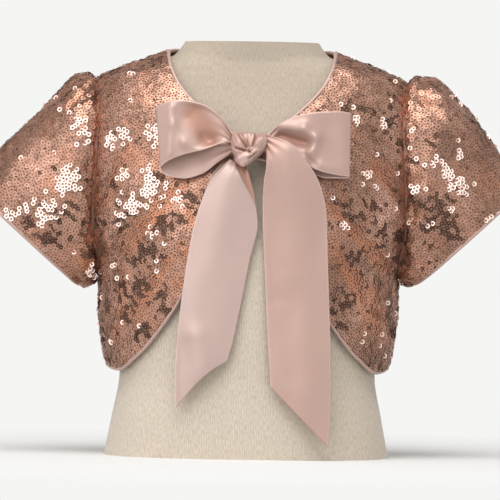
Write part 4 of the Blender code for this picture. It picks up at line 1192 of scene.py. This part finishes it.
def knot(look):
    """The knot: from a pole at the front to one at the back, each point is its angle's reach x sin(level) to
    a power across, and cos(level) to a power x depth forward, with the wound ribbon's folds pressed in as
    narrow troughs and a fine cosine crease over them."""
    rows, around = KNOT_FINE
    level = np.linspace(0, np.pi, rows)[1:-1, None]
    turn = np.linspace(0, 2 * np.pi, around, endpoint=False)[None, :]
    reach = MM * smooth(np.degrees(turn), KNOT_OUTLINE["angle"], KNOT_OUTLINE["reach"])
    reach = reach * np.sin(level) ** KNOT_SQUARENESS
    forward = KNOT_DEPTH * signed_power(np.cos(level), KNOT_BLUNTNESS) + 0 * turn
    offset = np.stack([reach * np.cos(turn), -forward, reach * np.sin(turn)], axis=-1)
    normals = unit(offset / [KNOT_RADIUS, KNOT_DEPTH, KNOT_RADIUS])
    poles = np.array([[0, -KNOT_DEPTH, 0], [0, KNOT_DEPTH, 0]])
    points = np.concatenate([offset.reshape(-1, 3), poles]) + KNOT_CENTRE
    normals = np.concatenate([normals.reshape(-1, 3), unit(poles)])
    depth, across, up = KNOT_CREASES
    creases = depth * np.cos(points[:, 0] * across + points[:, 2] * up)
    height, size = KNOT_WAVES
    waves = height * drift(points, size, seed=51)
    pressed = (fold_depth(points, KNOT_FOLDS) + creases + waves) * ease(-normals[:, 1], 0.05, 0.5)
    quads, uv = grid_quads(rows - 2, around, wrap=True)
    front, back, last = around * (rows - 2), around * (rows - 2) + 1, around * (rows - 3)
    caps = [(front, (c + 1) % around, c) for c in range(around)]
    caps += [(back, last + c, last + (c + 1) % around) for c in range(around)]
    # Painted shade over the whole knot, deeper in its folds
    painted_shade = {"painted_shade": 0.50 + 0.50 * ease(pressed, 0.0004, 0.0024)}
    points = points - normals * pressed[:, None]
    obj = new_piece("knot_wraps", points, quads, look, uv * [0.0004, 0.0004] + [0.01, 0], painted_shade, caps)
    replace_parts(obj, "knot")


def set_inputs(tree, node, inputs):
    """Sets each input of a node to a value, or links it from another node's socket."""
    for key, value in inputs.items():
        if isinstance(value, bpy.types.NodeSocket):
            tree.links.new(value, node.inputs[key])
        else:
            node.inputs[key].default_value = value


def add(tree, kind, inputs=None, **settings):
    """One shader node, with its settings and its inputs."""
    node = tree.nodes.new(kind)
    for key, value in settings.items():
        setattr(node, key, value)
    set_inputs(tree, node, inputs or {})
    return node


def math(tree, operation, *values):
    """A sum or another calculation with numbers or sockets."""
    return add(tree, "ShaderNodeMath", dict(enumerate(values)), operation=operation).outputs[0]


def new_group(name, numbers, outputs):
    """A node group that takes a place and named numbers, and puts out numbers. Returns (group, its inputs by
    name, its output node)."""
    group = bpy.data.node_groups.new(name, "ShaderNodeTree")
    group.interface.new_socket("Place", in_out="INPUT", socket_type="NodeSocketVector")
    for word, default in numbers.items():
        socket = group.interface.new_socket(word, in_out="INPUT", socket_type="NodeSocketFloat")
        socket.default_value = default
    for word in outputs:
        group.interface.new_socket(word, in_out="OUTPUT", socket_type="NodeSocketFloat")
    return group, group.nodes.new("NodeGroupInput").outputs, group.nodes.new("NodeGroupOutput")


def weave_group():
    """Woven threads: a sine along each direction of the cloth, multiplied together for the crossings. Height
    is 1 on a thread's crown, and Gap is 1 between the threads."""
    if "Woven threads" in bpy.data.node_groups:
        return bpy.data.node_groups["Woven threads"]
    numbers = {"Across": 1000.0, "Along": 1000.0, "Ribs": 0.5}
    group, given, out = new_group("Woven threads", numbers, ["Height", "Gap"])
    wobble = add(group, "ShaderNodeTexNoise", {"Vector": given["Place"], "Scale": 160.0, "Detail": 2.0})
    place = add(group, "ShaderNodeSeparateXYZ", {0: given["Place"]})
    shift = math(group, "MULTIPLY", wobble.outputs["Fac"], 3.0)
    waves = []
    for axis, count in (("X", given["Across"]), ("Y", given["Along"])):
        angle = math(group, "MULTIPLY", math(group, "MULTIPLY", place.outputs[axis], count), 2 * np.pi)
        waves.append(math(group, "SINE", math(group, "ADD", angle, shift)))
    crossing = math(group, "MULTIPLY", waves[0], waves[1])
    blended = add(group, "ShaderNodeMix", {"Factor": given["Ribs"], 2: crossing, 3: waves[0]})
    height = math(group, "MULTIPLY_ADD", blended.outputs[0], 0.5, 0.5)
    gap = math(group, "POWER", math(group, "SUBTRACT", 1.0, height), 2.0)
    set_inputs(group, out, {"Height": height, "Gap": gap})
    return group


def drift_group():
    """Tone drift: slow noise over the surface, 0 to 1 about a half, and its finer mottle."""
    if "Tone drift" in bpy.data.node_groups:
        return bpy.data.node_groups["Tone drift"]
    group, given, out = new_group("Tone drift", {"Size": 20.0}, ["Slow", "Fine"])
    fine_size = math(group, "MULTIPLY", given["Size"], 14.0)
    for word, size, detail in (("Slow", given["Size"], 3.0), ("Fine", fine_size, 2.0)):
        noise = add(group, "ShaderNodeTexNoise", {"Vector": given["Place"], "Scale": size, "Detail": detail})
        set_inputs(group, out, {word: noise.outputs["Fac"]})
    return group


def new_material(name):
    """(material, its tree, its Principled shader)"""
    look = bpy.data.materials.new(name)
    look.use_nodes = True
    return look, look.node_tree, look.node_tree.nodes["Principled BSDF"]


def coordinates(tree, kind):
    """The Object coordinates or the UV map of the piece itself."""
    return add(tree, "ShaderNodeTexCoord").outputs[kind]


def mark(tree, name):
    """One of the numbers that the piece's own points carry."""
    return add(tree, "ShaderNodeAttribute", attribute_name=name).outputs["Fac"]


def grouped(tree, group, **inputs):
    """A node group's outputs, by name, with these inputs."""
    return add(tree, "ShaderNodeGroup", inputs, node_tree=group).outputs


def mixed(tree, factor, first, second, blend="MIX"):
    """A colour between two, by a factor. Each is a socket or three numbers."""
    pair = [value if isinstance(value, bpy.types.NodeSocket) else (*value, 1) for value in (first, second)]
    inputs = {"Factor": factor, 6: pair[0], 7: pair[1]}
    return add(tree, "ShaderNodeMix", inputs, data_type="RGBA", blend_type=blend).outputs[2]


def darker(colour, share):
    """A colour with each part brought down to this share."""
    return tuple(share * part for part in colour)


def bumped(tree, height, strength, distance):
    """The normal of a surface with this relief."""
    inputs = {"Height": height, "Strength": strength, "Distance": distance}
    return add(tree, "ShaderNodeBump", inputs).outputs[0]


def ranged(tree, value, low, high):
    """A value from 0 to 1, stretched to run from low to high."""
    return add(tree, "ShaderNodeMapRange", {"Value": value, "To Min": low, "To Max": high}).outputs[0]


def sequin_material(colours):
    """Metallised plastic: colour by each ring's tone, which carries painted glints and painted shade, and its
    share of copper, partly painted shade, with a slow drift of tone, and the smoother the lighter it is."""
    if "Rose sequins" in bpy.data.materials:
        return bpy.data.materials["Rose sequins"]
    look, tree, shader = new_material("Rose sequins")
    tone = mark(tree, "tone")
    slow = grouped(tree, drift_group(), Place=coordinates(tree, "Object"), Size=24.0)
    shifted = math(tree, "ADD", tone, ranged(tree, slow["Slow"], -0.05, 0.05))
    ramp = add(tree, "ShaderNodeValToRGB", {"Fac": shifted})
    stops = ramp.color_ramp.elements
    stops[0].position, stops[0].color = 0.0, (*colours.ring_dark, 1)
    stops[1].position, stops[1].color = 1.0, (*colours.ring_light, 1)
    for position, value in ((0.30, colours.ring_brown), (0.62, colours.ring_rose)):
        stops.new(position).color = (*value, 1)
    set_inputs(tree, shader, {
        "Base Color": mixed(tree, mark(tree, "copper"), ramp.outputs["Color"], colours.ring_copper),
        "Roughness": math(tree, "MULTIPLY_ADD", tone, -0.40, ranged(tree, slow["Fine"], 0.54, 0.66)),
        "Normal": bumped(tree, slow["Fine"], 0.12, 0.0001),
        "Metallic": 0.8,
    })
    return look


def net_material(colours):
    """The net that carries the sequins: a fine open weave, darker between its threads."""
    if "Rose net" in bpy.data.materials:
        return bpy.data.materials["Rose net"]
    look, tree, shader = new_material("Rose net")
    weave = grouped(tree, weave_group(), Place=coordinates(tree, "UV"), Across=900.0, Along=900.0, Ribs=0.2)
    set_inputs(tree, shader, {
        "Base Color": mixed(tree, weave["Gap"], colours.net, darker(colours.net, 0.45)),
        "Roughness": ranged(tree, weave["Height"], 0.85, 0.65),
        "Normal": bumped(tree, weave["Height"], 0.5, 0.0003),
    })
    return look


def satin_material(colours):
    """Double-faced satin ribbon: a fine weave with ribs across, a woven edge on each side, a painted warm
    shade deep in its folds and wherever the piece's painted-shade mark asks, and here and there a little
    darker."""
    if "Blush satin" in bpy.data.materials:
        return bpy.data.materials["Blush satin"]
    look, tree, shader = new_material("Blush satin")
    uv = coordinates(tree, "UV")
    weave = grouped(tree, weave_group(), Place=uv, Across=1900.0, Along=1300.0, Ribs=0.0)
    slow = grouped(tree, drift_group(), Place=uv, Size=55.0)
    across = add(tree, "ShaderNodeSeparateXYZ", {0: uv}).outputs["X"]
    from_middle = math(tree, "ABSOLUTE", math(tree, "SUBTRACT", across, RIBBON_MIDDLE))
    selvedge = math(tree, "GREATER_THAN", from_middle, SELVEDGE)
    base = mixed(tree, mark(tree, "painted_shade"), colours.satin, colours.satin_painted_shade)
    dulled = mixed(tree, ranged(tree, slow["Slow"], -0.12, 0.25), base, darker(colours.satin, 0.82))
    raised = math(tree, "ADD", weave["Height"], math(tree, "MULTIPLY", selvedge, 2.0))
    set_inputs(tree, shader, {
        "Base Color": mixed(tree, math(tree, "MULTIPLY", selvedge, 0.30), dulled, SELVEDGE_TINT),
        "Roughness": ranged(tree, slow["Fine"], 0.40, 0.48),
        "Normal": bumped(tree, raised, 0.18, 0.00012),
        "Metallic": 0.30,
        "Sheen Weight": 0.15,
        "Sheen Roughness": 0.35,
    })
    return look


def linen_material(colours):
    """The form's cover: a fine weave with upright ribs and slubs, darker between its threads, with a soft
    nap. It carries a painted shade that darkens it a little up to the neck."""
    if "Ecru linen" in bpy.data.materials:
        return bpy.data.materials["Ecru linen"]
    look, tree, shader = new_material("Ecru linen")
    uv = coordinates(tree, "UV")
    stretched = add(tree, "ShaderNodeMapping", {"Vector": uv, "Scale": (1.0, 0.30, 1.0)}).outputs[0]
    weave = grouped(tree, weave_group(), Place=uv, Across=640.0, Along=760.0, Ribs=0.6)
    slubs = grouped(tree, drift_group(), Place=stretched, Size=60.0)
    between = mixed(tree, math(tree, "MULTIPLY", weave["Gap"], 0.9), colours.linen, colours.linen_shade)
    toned = mixed(tree, ranged(tree, slubs["Fine"], -1.1, 1.6), between, colours.linen_shade)
    # Painted shade, darker a little up to the neck
    height = add(tree, "ShaderNodeSeparateXYZ", {0: coordinates(tree, "Object")}).outputs["Z"]
    heights = {"Value": height, "From Min": 0.20, "From Max": 0.30, "To Max": 0.70}
    neck_painted_shade = add(tree, "ShaderNodeMapRange", heights).outputs[0]
    relief = math(tree, "ADD", weave["Height"], slubs["Fine"])
    set_inputs(tree, shader, {
        "Base Color": mixed(tree, neck_painted_shade, toned, NECK_SHADE, "MULTIPLY"),
        "Roughness": ranged(tree, slubs["Slow"], 0.80, 0.95),
        "Normal": bumped(tree, relief, 0.60, 0.0003),
        "Sheen Weight": 0.35,
        "Sheen Roughness": 0.30,
    })
    return look


def floor_material(colours):
    """A matt studio floor with a faint mottle, which fades into the backdrop's glow away from the form."""
    look, tree, shader = new_material("Studio floor")
    place = coordinates(tree, "Object")
    slow = grouped(tree, drift_group(), Place=place, Size=3.0)
    away = add(tree, "ShaderNodeVectorMath", {0: place}, operation="LENGTH").outputs["Value"]
    faded = add(tree, "ShaderNodeMapRange", {"Value": away, "From Min": 0.10, "From Max": 0.55}).outputs[0]
    tint = mixed(tree, slow["Slow"], colours.floor, darker(colours.floor, 0.97))
    set_inputs(tree, shader, {
        "Base Color": mixed(tree, faded, tint, BLACK),
        "Emission Color": mixed(tree, faded, BLACK, BACKDROP),
        "Emission Strength": 1.0,
        "Roughness": ranged(tree, slow["Fine"], 0.6, 0.75),
        "Normal": bumped(tree, slow["Fine"], 0.05, 0.0005),
        "Specular IOR Level": 0.0,
    })
    return look


def turned(folds, side):
    """A fold table for the other side: x changes sign."""
    return {key: values * (side if key.endswith("_x") else 1) for key, values in folds.items()}


def torso_panels():
    """Each torso panel's name, and its cloth as (points, normals, distance to a seam, depth of folds)."""
    domain = finer(front_domain())
    seams = [(1, True), (0, False)]
    for side, word, folds in ((1, "left", LEFT_FRONT_FOLDS), (-1, "right", RIGHT_FRONT_FOLDS)):
        points, normals, to_seam = panel(domain, turned(folds, side), seams)
        pressed = fold_depth(points, turned(folds, side))
        yield f"{word}_front", (points * [side, 1, 1], normals * [side, 1, 1], to_seam, pressed)
    points, normals, to_seam = panel(finer(back_domain()), BACK_FOLDS, [(1, True), (1, False)])
    yield "back", (points, normals, to_seam, fold_depth(points, BACK_FOLDS))


def sleeve_panels():
    """Each sleeve's name, and its cloth as (points, normals, distance to its armhole, depth of folds)."""
    for side, word, rows, folds in (
        (1, "left", LEFT_SLEEVE, LEFT_SLEEVE_FOLDS),
        (-1, "right", RIGHT_SLEEVE, RIGHT_SLEEVE_FOLDS),
    ):
        points, normals, to_seam = sleeve(rows, side, folds)
        yield f"{word}_sleeve", (points, normals, to_seam, fold_depth(points, folds))


def front_edgings(word, points, normals, look):
    """A front's bindings: from the shoulder to the tie, and from below the tie round cutaway and hem."""
    inward = points[:, 1] - points[:, 0]
    neck, away = slice(0, TIE_ROWS[0] * FINER + 1), slice(TIE_ROWS[1] * FINER, None)
    edge = np.concatenate([points[away, 0], points[-1, 1:]])
    faces = np.concatenate([normals[away, 0], normals[-1, 1:]])
    inside = np.concatenate([inward[away], (points[-2] - points[-1])[1:]])
    return [
        binding(f"{word}_neck_binding", points[neck, 0], normals[neck, 0], inward[neck], look, (True, False)),
        binding(f"{word}_front_binding", edge, faces, inside, look, (False, True)),
    ]


def back_edgings(points, normals, look):
    """The back's bindings: along the neckline and along the hem."""
    up = points[-2] - points[-1]
    return [
        binding("back_neck_binding", points[0], normals[0], -up, look, (True, True)),
        binding("back_hem_binding", points[-1], normals[-1], up, look, (True, True)),
    ]


def sewn_panel(name, cloth, context, seed, wrap=False):
    """A panel's net and the sequins on it."""
    sizes, colours = context.scene.shrug_sizes, context.scene.shrug_colours
    points, normals = cloth[:2]
    sunk = points - normals * NET_SINK
    if wrap:
        net_points, net_normals = sleeve_allowance(sunk, normals)
    else:
        edges = ((-1, -2), (0, 1)) if name == "back" else ((-1, -2),)
        net_points, net_normals = panel_allowance(sunk, normals, edges)
    rows, columns = net_points.shape[:2]
    quads, uv = grid_quads(rows, columns, wrap)
    across, down, area = sheet_size(net_points)
    uv = uv * [across / columns, down / rows]
    net = new_piece(f"{name}_net", net_points, quads, net_material(colours), uv, outward=net_normals)
    thicken(net, sizes.net_thickness)
    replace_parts(net, name)
    if wrap:
        cloth = [np.concatenate([grid, grid[:, :1]], axis=1) for grid in cloth]
    found = scatter(*cloth[:2], sizes.ring_spacing, seed, cloth[2:])
    sewn = rings(f"{name}_sequins", found, sizes, sequin_material(colours), seed + 1)


class ShrugForm(bpy.types.Operator):
    """Makes the dress form's cover: stacked sections from the flat base up to the flat neck"""

    bl_idname = "shrug.form"
    bl_label = "Dress form"

    def execute(self, context):
        rows, around = FORM_FINE
        steps = np.linspace(0, 1, len(FORM["height"]))
        heights = smooth(np.linspace(0, 1, rows), steps, FORM["height"])[:, None]
        turn = np.linspace(0, 2 * np.pi, around, endpoint=False)[None, :]
        points = torso(FORM, turn + 0 * heights, heights + 0 * turn)
        quads, uv = grid_quads(rows, around, wrap=True)
        uv = uv * [FORM_GIRTH / around, 1]
        uv[..., 1] = heights[uv[..., 1].astype(int), 0]
        caps = [tuple(range(around)), tuple(range((rows - 1) * around, rows * around))]
        look = linen_material(context.scene.shrug_colours)
        form = new_piece("dress_form_cover", points, quads, look, uv, caps=caps)
        form.data.set_sharp_from_angle(angle=np.radians(SHARP))
        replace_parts(form, "dress_form")
        return {"FINISHED"}


class ShrugTorso(bpy.types.Operator):
    """Makes both fronts and the back: net, sequins, and the satin binding round their edges"""

    bl_idname = "shrug.torso"
    bl_label = "Fronts and back"

    def execute(self, context):
        look = satin_material(context.scene.shrug_colours)
        for k, (name, cloth) in enumerate(torso_panels()):
            if name == "back":
                edgings = back_edgings(*cloth[:2], look)
            else:
                edgings = front_edgings(name.split("_")[0], *cloth[:2], look)
            sewn_panel(name, cloth, context, PANEL_SEED + 10 * k)
        return {"FINISHED"}


class ShrugSleeves(bpy.types.Operator):
    """Makes both sleeves: net, sequins, and the satin binding round each hem"""

    bl_idname = "shrug.sleeves"
    bl_label = "Sleeves"

    def execute(self, context):
        look = satin_material(context.scene.shrug_colours)
        for k, (name, cloth) in enumerate(sleeve_panels()):
            points, normals = cloth[:2]
            inward = points[-2] - points[-1]
            edging = binding(f"{name}_binding", points[-1], normals[-1], inward, look, closed=True)
            sewn_panel(name, cloth, context, SLEEVE_SEED + 10 * k, wrap=True)
        return {"FINISHED"}


class ShrugBow(bpy.types.Operator):
    """Makes the ribbon bow: two loops, two tails and the knot"""

    bl_idname = "shrug.bow"
    bl_label = "Bow"

    def execute(self, context):
        sizes = context.scene.shrug_sizes
        look = satin_material(context.scene.shrug_colours)
        # Shade adds painted shade over a whole loop or tail
        strip("right_loop", RIGHT_LOOP, look, -1, RIGHT_LOOP_FOLDS, sizes, True, shade=0.34)
        strip("left_loop", LEFT_LOOP, look, 1, LEFT_LOOP_FOLDS, sizes, True, shade=0.38)
        strip("right_tail", RIGHT_TAIL, look, 1, RIGHT_TAIL_FOLDS, sizes, under=RIGHT_TAIL_TURN, cut=0.005)
        strip("left_tail", LEFT_TAIL, look, 1, LEFT_TAIL_FOLDS, sizes, shade=0.42)
        knot(look)
        return {"FINISHED"}


def link_new(scene, name, data, place=(0, 0, 0)):
    """A new object at a place in the scene."""
    obj = bpy.data.objects.new(name, data)
    obj.location = place
    scene.collection.objects.link(obj)
    return obj


def studio_floor(scene):
    """A square of floor under the form."""
    mesh = bpy.data.meshes.new("floor")
    mesh.from_pydata([(-1, -1, 0), (1, -1, 0), (1, 1, 0), (-1, 1, 0)], [], [(0, 1, 2, 3)])
    mesh.materials.append(floor_material(scene.shrug_colours))
    floor = link_new(scene, "floor", mesh)


def studio_lamps(scene):
    """The lamps, each a square that faces the camera's aim."""
    for name, place, size, setting, share in LAMPS:
        lamp = bpy.data.lights.new(name, "AREA")
        lamp.size, lamp.energy = size, share * getattr(scene.shrug_stage, setting)
        light = link_new(scene, name, lamp, place)
        light.rotation_euler = (Vector(AIM) - light.location).to_track_quat("-Z", "Y").to_euler()


def studio_world(scene):
    """The room: the camera sees the pale backdrop, and the pieces are lit by a dimmer, warmer room."""
    world = bpy.data.worlds.new("Studio")
    world.use_nodes = True
    tree = world.node_tree
    tree.nodes.clear()
    seen = add(tree, "ShaderNodeBackground", {"Color": (*BACKDROP, 1), "Strength": 1.0})
    lit = add(tree, "ShaderNodeBackground", {"Color": (*ROOM, 1), "Strength": scene.shrug_stage.sky})
    ray = add(tree, "ShaderNodeLightPath").outputs["Is Camera Ray"]
    mix = add(tree, "ShaderNodeMixShader", {0: ray, 1: lit.outputs[0], 2: seen.outputs[0]})
    add(tree, "ShaderNodeOutputWorld", {"Surface": mix.outputs[0]})
    scene.world = world
    scene.view_settings.view_transform = "Standard"


def studio_camera(scene):
    """The camera: at its distance from the aim, raised and leaning as set. Its lens is the sensor's width x
    the distance / the width that the picture takes in."""
    stage = scene.shrug_stage
    camera = bpy.data.cameras.new("camera")
    camera.sensor_width = 36
    camera.lens = camera.sensor_width * stage.distance / stage.width
    camera.clip_end = 50
    away = Vector((0, -np.cos(stage.elevation), np.sin(stage.elevation)))
    eye = link_new(scene, "camera", camera, Vector(AIM) + away * stage.distance)
    look_at = (-away).to_track_quat("-Z", "Y")
    eye.rotation_euler = (look_at @ Euler((0, 0, stage.roll)).to_quaternion()).to_euler()
    scene.camera = eye


class ShrugStudio(bpy.types.Operator):
    """Makes the floor, the lights and the camera"""

    bl_idname = "shrug.studio"
    bl_label = "Stage"

    def execute(self, context):
        for make in (studio_floor, studio_lamps, studio_world, studio_camera):
            make(context.scene)
        return {"FINISHED"}


class ShrugPanel(bpy.types.Panel):
    """Lists the pieces in the sidebar, with their sizes and colours"""

    bl_idname = "VIEW3D_PT_shrug"
    bl_label = "Sequinned shrug"
    bl_space_type = "VIEW_3D"
    bl_region_type = "UI"
    bl_category = "Shrug"

    def draw(self, context):
        layout = self.layout
        for operator in PIECES:
            layout.operator(operator.bl_idname)
        for group in (context.scene.shrug_sizes, context.scene.shrug_colours, context.scene.shrug_stage):
            box = layout.box()
            for name in group.__annotations__:
                box.prop(group, name)


PIECES = (ShrugForm, ShrugTorso, ShrugSleeves, ShrugBow, ShrugStudio)
GROUPS = {"shrug_sizes": ShrugSizes, "shrug_colours": ShrugColours, "shrug_stage": ShrugStage}


def register():
    """Adds the classes and the scene's three groups of settings."""
    for item in (*GROUPS.values(), *PIECES, ShrugPanel):
        bpy.utils.register_class(item)
    for name, group in GROUPS.items():
        setattr(bpy.types.Scene, name, PointerProperty(type=group))


def unregister():
    """Takes them away again."""
    for name in GROUPS:
        delattr(bpy.types.Scene, name)
    for item in (ShrugPanel, *reversed(PIECES), *GROUPS.values()):
        bpy.utils.unregister_class(item)


def main():
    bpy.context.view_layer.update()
    register()
    bpy.ops.shrug.form()
    bpy.ops.shrug.torso()
    bpy.ops.shrug.sleeves()
    bpy.ops.shrug.bow()
    bpy.ops.shrug.studio()


if __name__ == "__main__":
    main()
